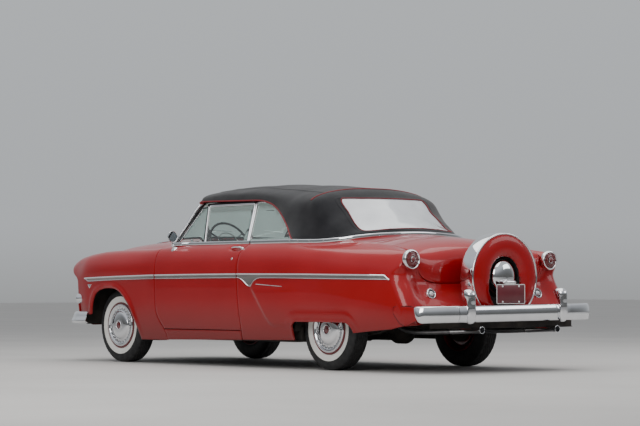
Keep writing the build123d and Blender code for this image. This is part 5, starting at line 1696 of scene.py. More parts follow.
# door glass: main pane and vent pane
VB0, VB1 = (-590, 1052), (-770, 1382)
main = [(-590 + 6, 1040), (4, 1040), (-126, 1380), (-764, 1380)]
vent = [(-1030, 1040), (-590 - 6, 1040), (-776, 1380), (-850, 1378)]
v1 = panel(side_plane(3), rounded(main, 6, closed=True, n=3), du=60, dv=60, depth=5, hem=0.8)
v, f = v1
both("door_pane", v, f, "glass", bodies=DOORS, replaces=(("door_glass_left",), ("door_glass_right",)), slot="glass", angle=40)
v, f = panel(side_plane(3), rounded(vent, 6, closed=True, n=3), du=60, dv=60, depth=5, hem=0.8)
both("vent_pane", v, f, "glass", bodies=DOORS, slot="glass", angle=40)
# bright frame: top rail and rear upright in one bent strip
pth = rounded([(-752, 1383), (-128, 1388), (-112, 1384), (14, 1056)], [0, 14, 14, 0], n=4)
rod_pair("door_glass_frame", on_glass(resample(pth, 14), 1), 10.5, 9.0, "chrome", DOORS)
# dark seal behind the rear upright and over the rail
rod_pair("door_glass_seal", on_glass(resample([(-105, 1398), (2, 1116), (28, 1056)], 20), -5), 7.0, 8.0, "seal", slot="tyre")
rod_pair("door_rail_seal", on_glass(resample([(-800, 1396), (-560, 1404), (-112, 1401)], 20), -6), 10, 8, "seal", slot="tyre")
# vent window: dark division bar with a bright edge, dark seal at the windshield post
rod_pair("vent_bar", on_glass(resample([(-597, 1052), (-774, 1381)], 20), 2), 8.0, 9.0, "seal", DOORS, slot="tyre")
rod_pair("vent_bar_trim", on_glass(resample([(-580, 1052), (-760, 1378)], 20), 5), 3.4, 7.5, "chrome", DOORS)
rod_pair("vent_frame", on_glass(resample(rounded([(-606, 1062), (-985, 1062), (-846, 1368), (-782, 1372)], [0, 18, 10, 0], n=4), 14), 3), 4.6, 6.0, "seal", DOORS,
         slot="tyre")
rod_pair("vent_frame_trim", on_glass(resample([(-968, 1068), (-838, 1360)], 20), 7), 2.6, 3.0, "chrome", DOORS)

# quarter window
QE = [(30, 1056), (600, 1060), (596, 1076), (560, 1110), (520, 1140), (430, 1210), (340, 1278), (250, 1330), (160, 1366), (70, 1390), (-20, 1400), (-92, 1392)]
q = rounded(QE, [6, 12, 10, 0, 0, 0, 0, 0, 0, 20, 10, 10], closed=True, n=3)
v, f = panel(side_plane(-2), clean(q, 3), du=60, dv=60, depth=5, hem=0.8)
vv = v.copy()
both("quarter_pane", v, f, "glass", replaces=(("quarter_windows",), ()), slot="glass", angle=40)
rod_pair("quarter_post", on_glass(resample([(34, 1052), (-88, 1392)], 16), 1), 8.0, 9.0, "chrome")
crv = through([(-88, 1396), (-20, 1402), (70, 1393), (160, 1369), (250, 1333), (340, 1281), (430, 1213), (520, 1143), (566, 1106), (604, 1070)], 14)
rod_pair("quarter_frame", on_glass(crv, 0), 6.0, 7.0, "chrome")
rod_pair("quarter_seal", on_glass(shift_line(crv, 8.0), -4), 5.0, 7.0, "seal", slot="tyre")
rod_pair("quarter_foot_seal", on_glass(resample([(40, 1064), (596, 1066)], 20), 1), 3.5, 4.0, "seal", slot="tyre")

# belt mouldings: bright band under the side glass, then round the foot of the fabric roof


def belt(y0, y1, step=14, dx=8.0, dz=6.0):
    y = np.linspace(y0, y1, max(2, int(abs(y1 - y0) / step)))
    q = side_xz(y, np.full(len(y), 1.0))
    x = q[:, 0] + dx
    return np.stack([x, y, np.full(len(y), 1054.0) + dz * 0 + (q[:, 1] - 1049) * 0.5], 1)


bp = belt(-1030, 64)
bp[:, 0] = np.maximum(bp[:, 0], 820)
# t, a share rising towards the windshield post, is worked out but not used
t = smooth(-860, -1030, bp[:, 1])
v, f = sweep(bp, ring(14, 8, 16, 3.0), (0, 0, 1))
both("door_belt_trim", v, f, "chrome", bodies=DOORS, slot="chrome", angle=50)
bq = belt(80, 640)
bq[:, 0] = np.maximum(bq[:, 0], 820)
re = []
for yy in np.linspace(652, 1282, 70):
    re.append(roof_s(A([[RW - 2.0, yy]]))[0][0] + A((5, 3, -8)))
for uu in np.linspace(RW - 30, -(RW - 30), 120):
    re.append(roof_s(A([[uu, 1287.0]]))[0][0] + A((0, 7, -8)))
re = A(re)
left = np.vstack([bq, re[:70]])
foot = TB[(TB[:, 1] > 655)]
foot = foot[np.argsort(-foot[:, 0])]
zf = deck_z(np.clip(foot[:, 0], -690, 690), foot[:, 1])
base = np.stack([foot[:, 0], foot[:, 1] - 4, zf + 8], 1)
side_z = np.interp(foot[:, 1], [600, 760, 900, 1000, 1115, 1229, 1290, 1312], [1056, 1053, 1052, 1057, 1067, 1091, 1108, 1116])
base[:, 2] = side_z
base[:, 0] *= 1.004
path = np.vstack([bq, base, (bq * A((-1, 1, 1)))[::-1]])
path = through(path[::3], 12)
v, f = sweep(path, ring(14, 7, 18, 3.0), (0, 0, 1))
solid("body_belt_trim", v, f, "chrome", slot="chrome", angle=50)
# snaps on the band
sn = []
for y in (612, 700, 820, 950):
    for s in (1, -1):
        i = np.argmin(np.abs(path[:, 1] - y) + (path[:, 0] * s < 0) * 1e4)
        d = path[min(i + 1, len(path) - 1)] - path[i - 1]
        n_ = A((d[1], -d[0], 0)) / np.linalg.norm(d[:2])
        if n_[0] * s < 0:
            n_ = -n_
        sn.append(revolve([(0.3, 4.5), (3.5, 4.2), (5.0, 2.4), (5.6, 0), (0.3, -1)], path[i] + n_ * 7.2, n_, 16))
v, f = merge(*sn)
solid("belt_snaps", v, f, "steel", slot="chrome", angle=50)

# windshield
WB = A([(716, -1102, 1086), (612, -1164, 1099), (400, -1228, 1111), (0, -1268, 1117)])
WT = A([(538, -936, 1427), (500, -962, 1433), (370, -1014, 1440), (0, -1060, 1447)])


def wind_points(uv):
    s = np.abs(uv[:, 0]) / 720.0
    t = uv[:, 1] / 360.0
    k = np.linspace(0, 1, 60)
    B = through(WB[::-1], 6)
    T = through(WT[::-1], 6)

    def at(P, s):
        d = np.r_[0, np.cumsum(np.linalg.norm(np.diff(P, axis=0), axis=1))]
        d /= d[-1]
        return np.stack([np.interp(s, d, P[:, i]) for i in range(3)], 1)
    b, tt = at(B, s), at(T, s)
    p = b * (1 - t[:, None]) + tt * t[:, None]
    p[:, 1] -= 10 * np.sin(np.pi * np.clip(t, 0, 1))
    p[:, 0] *= np.sign(uv[:, 0] + 1e-9)
    return p


wind_s = with_normals(wind_points)
loop = rounded([(708, 6), (708, 354), (-708, 354), (-708, 6)], 24, closed=True, n=5)
loop = resample(np.vstack([loop, loop[:1]]), 24)[:-1]
v, f = panel(wind_s, loop, du=40, dv=40, depth=5, hem=0.8)
solid("windshield_pane", v, f, "glass", "body", ("windshield_glass",), slot="glass", angle=50)
lp = resample(np.vstack([loop, loop[:1]]), 14)[:-1]
p, n = wind_s(lp)
v, f = sweep(p + n * 1.0, ring(12, 10, 6, 2.6), n, closed=True)
solid("windshield_seal", v, f, "seal", "body", slot="tyre", angle=50)
lp2 = np.vstack([resample([(-700, 20), (-700, 340)], 14), resample([(-690, 352), (690, 352)], 14), resample([(700, 340), (700, 20)], 14)])
p, n = wind_s(lp2)
v, f = sweep(p + n * 6.0, ring(10, 7, 3.5, 2.6), n)
solid("windshield_reveal", v, f, "chrome", "body", slot="chrome", angle=50)
lp3 = resample([(-704, 4), (704, 4)], 14)
p, n = wind_s(lp3)
v, f = sweep(p + n * 5.0 + A((0, 0, -6)), ring(10, 9, 5, 2.6), n)
solid("windshield_sill_trim", v, f, "chrome", "body", slot="chrome", angle=50)
# posts
post = A([(782, -1088, 1030), (762, -1066, 1080), (700, -1010, 1210), (640, -955, 1340), (608, -924, 1402)])
pp = through(post, 14)
sc = np.interp(np.linspace(0, 1, len(pp)), [0, 0.12, 1], [1.15, 1.0, 0.72])
v, f = sweep(pp, ring(18, 17, 26, 3.0), (1, 0.5, 0), scale=sc)
both("windshield_post", v, f, "chrome", replaces=(("windshield_frame",), ()), slot="chrome", angle=50)
pq = through(post + A((-8, 27, -4)), 14)
v, f = sweep(pq, ring(12, 9, 14, 3.0), (1, 0.5, 0), scale=sc)
both("post_seal", v, f, "seal", slot="tyre", angle=50)
pq = through(post + A((6, 22, 2)), 14)
v, f = sweep(pq, ring(8, 2.6, 3.2, 2.0), (1, 0.5, 0), scale=sc)
both("post_bead", v, f, "chrome", slot="chrome", angle=50)
# header bar under the front edge of the fabric
hd = through(np.vstack([A([(612, -905, 1412)]), WT * A((1.03, 1, 1)) + A((0, 6, 6)), (WT * A((-1.03, 1, 1)) + A((0, 6, 6)))[::-1][1:], A([(-612, -905, 1412)])]), 16)
v, f = sweep(hd, ring(16, 22, 9, 3.0), (0, 0.3, 1))
solid("header_bar", v, f, "paint_in", slot="body_paint", angle=50)
v, f = sweep(hd + A((0, -12, -4)), ring(10, 6, 5, 2.2), (0, 0.3, 1))
solid("header_trim", v, f, "chrome", slot="chrome", angle=50)
# seal roll between header and cloth
v, f = sweep(hd + A((0, 6, 10)), ring(10, 16, 6, 2.2), (0, 0.3, 1))
solid("header_roll", v, f, "piping", slot="upholstery", angle=50)

# wipers
wp = []
for x0, dx in ((470, -1), (-180, -1)):
    base_ = A((x0, ws_y(abs(x0) / 716) - 8, 1088))
    foot_ = hood_points(A([[x0 / 700 * 620, -1240.0 if abs(x0) > 300 else -1300.0]]))[0]
    foot_ = A((x0, -1236 if abs(x0) > 300 else -1285, 1106 if abs(x0) < 300 else 1092))
    tip_uv = A([[x0 - 300, 70.0]])
    tip = (wind_s(tip_uv)[0] + wind_s(tip_uv)[1] * 16)[0]
    wp.append(revolve([(0.4, 20), (8, 18), (11, 12), (12, 0), (12, -16), (0.4, -16)], foot_, (0, -0.25, 1), 20))
    wp.append(sweep(resample([foot_ + A((0, 0, 12)), foot_ * 0.5 + tip * 0.5 + A((0, -8, 6)), tip], 20), ring(8, 3.6, 2.2, 2.0), (0, 0, 1)))
    bl = [(wind_s(A([[x0 - 300 + q, 70 + q * 0.05]]))[0] + wind_s(A([[x0 - 300 + q, 70 + q * 0.05]]))[1] * 9)[0] for q in np.linspace(-150, 150, 16)]
    wp.append(sweep(A(bl), ring(8, 2.2, 5.5, 2.0), (0, -0.6, 0.8)))
v, f = merge(*wp)
solid("wipers", v, f, "chrome", slot="chrome", angle=50)

# mirror on the driver's door
mc = A((884, -966, 1116))
v, f = revolve([(0.3, -24), (18, -23), (34, -18), (44, -10), (49.5, -1), (51, 4), (50.5, 7), (48.5, 8), (47, 6.5), (46, 5)], mc, (0.05, 1, 0.03), 64)
solid("mirror_shell", v, f, "chrome", "door_left_body", ("door_mirror",), slot="chrome", angle=50)
v, f = revolve([(46.5, 4.0), (46, 5.6), (20, 6.3), (0.3, 6.5)], mc, (0.05, 1, 0.03), 64)
solid("mirror_face", v, f, "mirror", "door_left_body", slot="glass", angle=50)
v, f = merge(sweep(through([(884, -968, 1070), (880, -966, 1050), (872, -964, 1030), (868, -962, 1012)], 6), ring(12, 6.5, 9, 2.2), (1, 0, 0)),
             revolve([(0.3, 12), (10, 11), (22, 6), (30, 0), (31, -5), (0.3, -8)], (866, -962, 1010), (0.55, 0, 0.84), 40))
solid("mirror_stalk", v, f, "chrome", "door_left_body", slot="chrome", angle=50)

# door handle with its push button, and the lock
for s, bd in ((1, "door_left_body"), (-1, "door_right_body")):
    yy = np.linspace(-122, 26, 22)
    uvh = to_uv([(a, 1006.0) for a in yy])
    p, n = side_surface(uvh)
    lift = 17 * np.sin(np.pi * np.clip((yy + 122) / 148, 0, 1)) ** 0.5 + 3
    hp = p + n * lift[:, None]
    v1 = sweep(hp, ring(14, 6.5, 11.5, 2.4), n, scale=np.interp(np.linspace(0, 1, 22), [0, 0.2, 0.8, 1], [0.75, 1.0, 1.1, 0.9]))
    bt = side_surface(to_uv([(34, 1004.0)]))
    v2 = revolve([(0.3, 17), (9, 16), (12, 12), (13, 4), (15, 0), (15, -4), (0.3, -4)], bt[0][0], bt[1][0], 32)
    lk = side_surface(to_uv([(-54, 916.0)]))
    v3 = revolve([(0.3, 3), (5, 3.5), (8, 3.2), (10, 0.5), (10.5, -2), (0.3, -2)], lk[0][0], lk[1][0], 28)
    v, f = merge(v1, v2, v3)
    if s < 0:
        v, f = flip_x(v), turn_faces(f)
    solid("door_handle_" + ("left" if s > 0 else "right"), v, f, "chrome", bd, slot="chrome", angle=50)

# ================================================================ side mouldings
MY = [-2300, -2236, -1800, -1239, -600, 49, 900, 1645, 1950]
MT = [762, 765, 776, 786, 790, 792, 787, 778, 773]
MB = [742, 727, 738, 747, 751, 753, 746, 738, 734]


def moulding(name, y0, y1, bodies, vee=False, point0=False, point1=False):
    n = max(8, int((y1 - y0) / 12))
    y = np.linspace(y0, y1, n)
    if vee:
        y = np.unique(np.r_[np.linspace(y0, 360, 44), np.linspace(370, y1, int((y1 - 370) / 12))])
        n = len(y)
    top = np.interp(y, MY, MT)
    bot = np.interp(y, MY, MB)
    if vee:
        bot = bot - np.interp(y, [44, 70, 95, 130, 165, 190, 203, 228, 240, 262, 290, 318, 345], [0, 3, 10, 27, 50, 66, 70, 70, 60, 32, 14, 4, 0])
    if point0:
        k = smooth(y0 + 64, y0, y)
        bot = bot * (1 - k) + (top - 14) * k
    if point1:
        k = smooth(y1 - 70, y1, y)
        top = top * (1 - k) + (bot + 6) * k
    h = top - bot
    # height share across the strip, lift from the panel, material
    b = 6.5 / h
    shares = [np.zeros(n), np.zeros(n), b * 0.5, b, b * 1.15, 0.35 * (1 - 2 * b) + b, 0.65 * (1 - 2 * b) + b, 1 - b * 1.6 * 1.1, 1 - b * 1.6, 1 - b * 0.8, np.ones(n), np.ones(n)]
    lifts = [-4, 5, 8.5, 6, 3.2, 3.0, 3.0, 3.2, 7, 10.0, 6, -4]
    rows = []
    for q, l in zip(shares, lifts):
        z = bot + h * q
        p, nn = side_surface(to_uv(np.stack([y, z], 1)))
        rows.append(p + nn * l)
    grid = np.stack(rows, 1).reshape(-1, 3)      # n x 12
    m = 12
    f = grid_faces(n, m, wrap_v=True)
    fn = grid[f[0][1]] - grid[f[0][0]]
    idx = []
    for i in range(n - 1):
        for j in range(m):
            idx.append(1 if j in (4, 5, 6) else 0)
    f = list(f) + [tuple(range(m)), tuple(reversed(range((n - 1) * m, n * m)))]
    idx += [0, 0]
    # outward check on one face of the fill
    q = f[5]
    nrm = np.cross(grid[q[1]] - grid[q[0]], grid[q[2]] - grid[q[0]])
    if nrm[0] < 0:
        f = turn_faces(f)
    return both(name, grid, f, None, bodies=bodies, slot="chrome", angle=35, mats=["chrome", "chrome_soft"], idx=idx)


moulding("fender_moulding", -2300, -1170, ("body", "body"), point0=True)
moulding("door_moulding", -1156, 27, DOORS)
moulding("quarter_moulding", 36, 1950, ("body", "body"), vee=True, point1=True)
# plain ornaments in place of lettering
yy = np.linspace(290, 655, 30)
p, n = side_surface(to_uv([(a, 702 - (a - 290) * 0.055) for a in yy]))
v, f = sweep(p + n * 1.5, ring(8, 3.4, 3.0, 2.0), n, scale=np.interp(np.linspace(0, 1, 30), [0, 0.05, 0.9, 1], [0.4, 1, 0.8, 0.3]))
both("quarter_ornament", v, f, "chrome", slot="chrome", angle=50)
cr = rounded([(-2250, 700), (-2184, 700), (-2216, 664)], 6, closed=True, n=3)
v, f = panel(side_surface, to_uv(cr), du=12, dv=12, depth=2, hem=1.0)
v[:, 0] += 3.0
both("fender_ornament", v, f, "chrome", slot="chrome", angle=50)
# hood ornament
hy = np.linspace(-2480, -2200, 24)
hz = hood_points(np.stack([np.zeros(24), hy], 1))[:, 2]
v, f = sweep(np.stack([np.zeros(24), hy, hz + 12], 1), ring(14, 12, 13, 2.0), (0, 0, 1),
             scale=np.interp(np.linspace(0, 1, 24), [0, 0.1, 0.35, 1], [0.3, 0.9, 1.0, 0.12]))
solid("hood_ornament", v, f, "chrome", "hood_body", slot="chrome", angle=50)

# ================================================================ nose
def ringed(pts, r, step=24.0):
    """Closed outline with rounded corners and points all along its straight runs."""
    q = rounded(pts, r, closed=True, n=5)
    return clean(resample(np.vstack([q, q[:1]]), step)[:-1], 4)


def nose_points(uv):
    x, z = np.abs(uv[:, 0]), uv[:, 1]
    k = np.clip((x - 520) / 332.0, 0, 1)
    y = -2549 + 80 * k ** 2.2 + 10 * smooth(560, 430, z)
    return np.stack([uv[:, 0], y, z], 1)


def _nose_n(uv):
    p, n = with_normals(nose_points)(uv)
    return p, np.where(n[:, 1:2] > 0, -n, n)


half = [(0, 905), (300, 892), (520, 862), (610, 866), (700, 892), (790, 880), (834, 845), (854, 770), (866, 640), (868, 520), (862, 437), (700, 434),
        (400, 432), (0, 432)]
hp = resample(half, 16)
loop = np.vstack([hp, (hp * A((-1, 1)))[::-1][1:-1]])
hole = rounded([(528, 728), (528, 505), (-528, 505), (-528, 728)], [46, 90, 90, 46], closed=True, n=8)
hole = resample(np.vstack([hole, hole[:1]]), 16)[:-1]
v, f = panel(_nose_n, clean(loop, 4), [clean(hole, 4)], du=20, dv=20, depth=14)
solid("nose_skin", v, f, "paint", "body", ("grille_panel",), slot="body_paint")
# valance under the bumper
v, f = panel(with_normals(lambda q: np.stack([q[:, 0], -2500 + 50 * (np.abs(q[:, 0]) / 800) ** 2 + (430 - q[:, 1]) * 0.35, q[:, 1]], 1), flip=False),
             ringed([(800, 434), (760, 330), (-760, 330), (-800, 434)], [4, 30, 30, 4]), du=26, dv=18, depth=4)
solid("front_valance", v, f, "paint", slot="body_paint")
# bright surround of the mouth, bar, bullet, uprights and dark mesh behind
lp = resample(np.vstack([hole, hole[:1]]), 14)[:-1]
p, n = _nose_n(lp)
v, f = sweep(p + n * 2, ring(12, 12, 7, 2.4), n, closed=True)
solid("grille_surround", v, f, "chrome", "body", ("grille",), slot="chrome", angle=50)
xs = np.linspace(-538, 538, 61)
by = -2592 + 34 * (np.abs(xs) / 538) ** 2.2
v, f = sweep(np.stack([xs, by, np.full(61, 612.0)], 1), ring(20, 24, 30, 2.2), (0, 0, 1), scale=np.interp(np.abs(xs), [0, 400, 538], [1.0, 0.82, 0.62]))
v2, f2 = sweep(np.stack([xs, by - 20, np.full(61, 612.0)], 1), ring(10, 4, 6, 2.0), (0, 0, 1))
v3, f3 = revolve(through([(0.4, 92), (16, 90), (34, 80), (52, 62), (68, 38), (77, 12), (78, -8), (66, -24), (0.4, -26)], 5), (0, -2592, 612), (0, -1, 0), 64)
v, f = merge((v, f), (v2, f2), (v3, f3))
solid("grille_bar", v, f, "chrome", slot="chrome", angle=50)
ups = []
for i in range(-4, 5):
    if i == 0:
        continue
    x = i * 104
    zt = 724 if abs(x) < 430 else 716
    ups.append(sweep(resample([(x, -2545, 508), (x, -2556, 560), (x, -2556, 670), (x, -2546, zt)], 16), ring(8, 5, 9, 2.4), (1, 0, 0)))
v, f = merge(*ups)
solid("grille_uprights", v, f, "chrome", slot="chrome", angle=50)
mesh = []
for i in range(13):
    z = 512 + 17.5 * i
    mesh.append(sweep(resample([(-530, -2512, z), (530, -2512, z)], 106), ring(6, 3, 6, 2), (0, 0, 1)))
mesh.append(blockv(-545, 545, -2500, -2494, 495, 738, 2))
v, f = merge(*mesh)
solid("grille_mesh", v, f, "black_metal", slot="black_metal", angle=50)
# headlamps under the fender brows
for s, nm in ((1, "left"), (-1, "right")):
    c = (s * 724, -2572, 805)
    ax = A((s * 0.04, -math.cos(math.radians(22)), -math.sin(math.radians(22))))
    v, f = revolve(through([(98, -60), (108, -56), (112, -40), (112.5, -18), (111, 0), (107, 9), (100, 14), (94, 13), (91, 7), (90, -4)], 3), c, ax, 96)
    solid("headlamp_bezel_" + nm, v, f, "chrome", "body", ("headlamps",) if s > 0 else (), slot="chrome", angle=50)
    v, f = revolve(through([(92, 0), (88, 6), (70, 15), (45, 22), (20, 25), (0.3, 26)], 3), c, ax, 96)
    for i in range(len(v)):
        q = v[i] - A(c)
        w = q[0]
        v[i] = v[i] + ax * 1.4 * math.cos(w / 7.5)
    solid("headlamp_lens_" + nm, v, f, "clear_lens", slot="glass", angle=60)
    v, f = revolve([(104, -150), (112, -100), (110, -30), (100, -34), (40, -60), (0.4, -62)], c, ax, 64)
    solid("headlamp_bucket_" + nm, v, f, "paint_in", slot="body_paint", angle=50)
    # parking lamp on the corner
    c = (s * 856, -2442, 571)
    ax = A((s * 0.5, -0.86, -0.04))
    ax /= np.linalg.norm(ax)
    v, f = revolve(through([(26, -62), (38, -48), (45, -30), (47.5, -8), (47.5, 12), (45.5, 24), (41, 31), (37, 30), (35, 24)], 3), c, ax, 64)
    solid("parking_bezel_" + nm, v, f, "chrome", "body", ("parking_lamps",) if s > 0 else (), slot="chrome", angle=50)
    v, f = revolve(through([(36, 24), (33, 32), (24, 40), (12, 45), (0.3, 46)], 3), c, ax, 64)
    solid("parking_lens_" + nm, v, f, "clear_lens", slot="glass", angle=50)
    v, f = revolve([(26, -60), (12, -62), (0.3, -62)], c, ax, 48)
    solid("parking_back_" + nm, v, f, "chrome", slot="chrome", angle=50)

# wheel house liners
arch = through([(-2344, 330), (-2330, 560), (-2250, 690), (-2080, 762), (-1856, 784), (-1640, 750), (-1500, 640), (-1430, 480), (-1404, 300)], 16)
ad = np.r_[0, np.cumsum(np.linalg.norm(np.diff(arch, axis=0), axis=1))]


def liner_points(uv):
    y = np.interp(uv[:, 1], ad, arch[:, 0])
    z = np.interp(uv[:, 1], ad, arch[:, 1])
    return np.stack([uv[:, 0], y, z], 1)


v, f = panel(with_normals(liner_points, 4.0), ringed([(606, 10), (862, 10), (862, ad[-1] - 10), (606, ad[-1] - 10)], 4), du=42, dv=26, depth=4, hem=1)
both("front_wheel_liner", v, f, "under", slot="black_metal", angle=60)
v, f = merge(blockv(458, 610, -2346, -2340, 345, 700, 2), blockv(600, 612, -2350, -1404, 704, 900, 3))
both("front_wheel_apron", v, f, "under", slot="black_metal", angle=40)

# ================================================================ carried-over parts with their own finish


def finish_node(name, *mats):
    ob = frame["nodes"].get(name)
    if ob is None:
        return
    me = ob.data
    me.materials.clear()
    for m in mats:
        me.materials.append(M[m])


for n_, m_ in (("chassis_frame", "under"), ("floor_pan", "under"), ("inner_fenders", "under"), ("engine", "engine"), ("radiator", "black_metal"),
               ("fuel_tank", "under"), ("rear_axle", "under"), ("front_suspension", "under"), ("knuckle_left", "steel"), ("knuckle_right", "steel"),
               ("steering_column", "dash")):
    finish_node(n_, m_)

# exhaust: two pipes with oval silencers tucked up between the rails
ex = []
for s in (1, -1):
    pth = through([(s * 250, -1400, 318), (s * 250, -1300, 292), (s * 250, -900, 288), (s * 250, 500, 288), (s * 262, 700, 340), (s * 290, 860, 440),
                   (s * 300, 1080, 462), (s * 306, 1290, 440), (s * 360, 1480, 352), (s * 404, 1760, 318), (s * 410, 2150, 329)], 20)
    ex.append(sweep(pth, ring(16, 22, 22), (0, 0, 1)))
    q = A([(s * 250, -170, 288), (s * 250, -150, 288), (s * 250, -140, 288), (s * 250, 370, 288), (s * 250, 382, 288), (s * 250, 402, 288)])
    ex.append(sweep(q, ring(32, 46, 78, 2.2), (0, 0, 1), scale=[0.5, 0.9, 1.0, 1.0, 0.9, 0.5]))
    for y in (-60, 60, 180, 300):
        ex.append(sweep(A([(s * 250, y - 5, 288), (s * 250, y, 288), (s * 250, y + 5, 288)]), ring(32, 48, 80, 2.2), (0, 0, 1), scale=[0.97, 1.0, 0.97]))
v, f = merge(*ex)
solid("exhaust_line", v, f, "steel", "body", ("exhaust_pipes",), slot="steel", angle=40)

# engine dress: air cleaner, rocker covers, fan
v, f = merge(revolve(through([(0.4, 96), (60, 95), (150, 90), (172, 78), (176, 60), (176, 30), (168, 18), (150, 14), (60, 12), (0.4, 12)], 8), (0, -1765, 830), (0, 0, 1), 64),
             revolve([(0.4, 112), (10, 111), (16, 104), (17, 94), (0.4, 92)], (0, -1765, 830), (0, 0, 1), 24))
solid("air_cleaner", v, f, "black", slot="black_plastic", angle=40)
rc = []
for s in (1, -1):
    rc.append(sweep(resample([(s * 225, -2020, 838), (s * 225, -1510, 838)], 30), ring(24, 30, 66, 3.2), (s * 0.35, 0, 1)))
v, f = merge(*rc)
solid("rocker_covers", v, f, "engine_red", slot="engine_iron", angle=40)
fan = [revolve([(0.4, 20), (40, 18), (46, 8), (46, -8), (0.4, -10)], (0, -2130, 640), (0, -1, 0), 32)]
for i in range(4):
    a = math.radians(45 + 90 * i)
    d = A((math.cos(a), 0, math.sin(a)))
    t = A((-math.sin(a), 0, math.cos(a)))
    pth = A([A((0, -2132, 640)) + d * r for r in (30, 80, 130, 190)])
    fan.append(sweep(pth, ring(12, 2.2, 42, 4.0), t * 0.35 + A((0, 1, 0)), scale=[0.6, 0.9, 1.0, 0.95]))
v, f = merge(*fan)
solid("engine_fan", v, f, "steel", slot="steel", angle=40)

# ================================================================ cabin
# steering wheel
SC = A((360, -820, 1060))
SA = A((0, math.cos(math.radians(28)), math.sin(math.radians(28))))
e1 = A((1.0, 0, 0))
e2 = np.cross(SA, e1)


def wheel_pt(r, a, h=0.0):
    return SC + e1 * r * math.cos(a) + e2 * r * math.sin(a) + SA * h


rim = A([wheel_pt(203 + 1.0 * math.cos(30 * t), t) for t in np.arange(180) / 180 * 2 * math.pi])
sw = [sweep(rim, ring(14, 11, 9.5, 2.0), SA, closed=True)]
for a in (90, 210, 330):
    a = math.radians(a)
    sw.append(sweep(A([wheel_pt(r, a, h) for r, h in ((26, -26), (60, -20), (120, -10), (175, -3), (200, 0))]), ring(10, 5, 11, 2.2), SA))
sw.append(revolve(through([(0.4, -6), (20, -8), (34, -18), (40, -34), (38, -52), (30, -58), (0.4, -58)], 4), SC, SA, 48))
v, f = merge(*sw)
solid("steering_wheel_rim", v, f, "black", "steering_wheel_body", ("steering_wheel",), slot="black_plastic", angle=50)
hr = A([wheel_pt(112, t, -12) for t in np.linspace(math.radians(190), math.radians(350), 60)])
v, f = merge(sweep(hr, ring(10, 4, 4), SA), revolve([(0.4, 0), (16, -1), (24, -6), (26, -12), (0.4, -14)], SC, SA, 32))
solid("horn_ring", v, f, "chrome", "steering_wheel_body", slot="chrome", angle=50)

# dashboard
prof = rounded([(-1180, 1012), (-1150, 1040), (-1010, 1048), (-962, 1030), (-950, 960), (-962, 934), (-955, 880), (-980, 812), (-1020, 800), (-1180, 800)],
               [6, 14, 24, 22, 16, 12, 16, 18, 10, 4], closed=True, n=5)
xs = np.linspace(-768, 768, 49)
rows = []
for x in xs:
    k = (abs(x) / 768) ** 2
    rows.append(np.stack([np.full(len(prof), x), prof[:, 0] - 4 * k, prof[:, 1] - 10 * k], 1))
m = len(prof)
f = grid_faces(len(xs), m, wrap_v=True)
f += [tuple(reversed(range(m))), tuple(range((len(xs) - 1) * m, len(xs) * m))]
v = np.vstack(rows)
q = f[m // 2]
solid("dash_body", v, turn_faces(f), "dash", "body", ("dashboard",), slot="body_paint", angle=40)
parts = [revolve([(112, -6), (118, 0), (118, 12), (112, 17), (106, 14), (104, 4)], (360, -958, 962), (0, 1, 0.1), 80)]
parts.append(sweep(resample([(-330, -948, 905), (-60, -948, 905)], 30), ring(10, 4, 6, 2.4), (0, 1, 0)))
parts.append(sweep(resample([(-700, -956, 962), (150, -952, 966)], 40), ring(10, 3, 5, 2.4), (0, 1, 0)))
for x in (-20, 60, 120, 200, 540, 600, 660):
    parts.append(revolve([(0.4, 24), (8, 23), (12, 18), (12, 6), (6, 2), (6, -10), (0.4, -10)], (x, -952, 880), (0, 1, 0.05), 20))
for i in range(9):
    parts.append(sweep(resample([(-196 + 0, -951, 866 + i * 9), (-60, -951, 866 + i * 9)], 30), ring(6, 1.8, 2.6), (0, 1, 0)))
v, f = merge(*parts)
solid("dash_trim", v, f, "chrome", slot="chrome", angle=50)
v, f = revolve([(104, 4), (100, 2), (60, 3), (0.4, 3)], (360, -958, 962), (0, 1, 0.1), 64)
solid("dash_dial", v, f, "black", slot="black_plastic", angle=50)
ticks = []
for i in range(13):
    a = math.radians(200 - 220 / 12 * i)
    ticks.append(sweep(A([(360 + r * math.cos(a), -954.0 - 0.1 * r * math.sin(a) * 0.0, 962 + r * math.sin(a)) for r in (74, 94)]), ring(4, 1.6, 1.6), (0, 1, 0)))
ticks.append(sweep(A([(360, -953.0, 962), (320, -953.0, 1020)]), ring(4, 1.8, 1.8), (0, 1, 0)))
v, f = merge(*ticks)
solid("dash_marks", v, f, "plate_rim", slot="plate", angle=50)

# carpet over the floor and tunnel
def carpet_points(uv):
    x, y = uv[:, 0], uv[:, 1]
    hump = 122 * smooth(158, 108, np.abs(x)) * smooth(575, 550, y)
    z = 356 + hump + np.maximum(-1150 - y, 0) * 0.97
    return np.stack([x, y, z], 1)


v, f = panel(with_normals(carpet_points, 3.0), ringed([(590, -1352), (590, -1176), (770, -1160), (770, 596), (-770, 596), (-770, -1160), (-590, -1176), (-590, -1352)],
             4), du=30, dv=40, depth=5, hem=1)
solid("carpet_front", v, f, "carpet", slot="upholstery", angle=40)

# inner door panels, set in from the skin, with armrest, crank and handle
def inner_points(uv):
    p, n = side_surface(uv)
    o = A((-46.0, 0, 0))
    q = p + o
    q[:, 0] = np.minimum(q[:, 0], 880 - 0.0 * q[:, 2])
    return q


dl = to_uv(rounded([(-1118, 1000), (-1118, 380), (16, 380), (0, 1000)], [30, 40, 40, 30], closed=True, n=5))
dl = resample(np.vstack([dl, dl[:1]]), 26)[:-1]
v, f = panel(lambda uv: (inner_points(uv), -_side_n(uv)[1]), dl[::-1], du=40, dv=40, depth=6, hem=1.0)
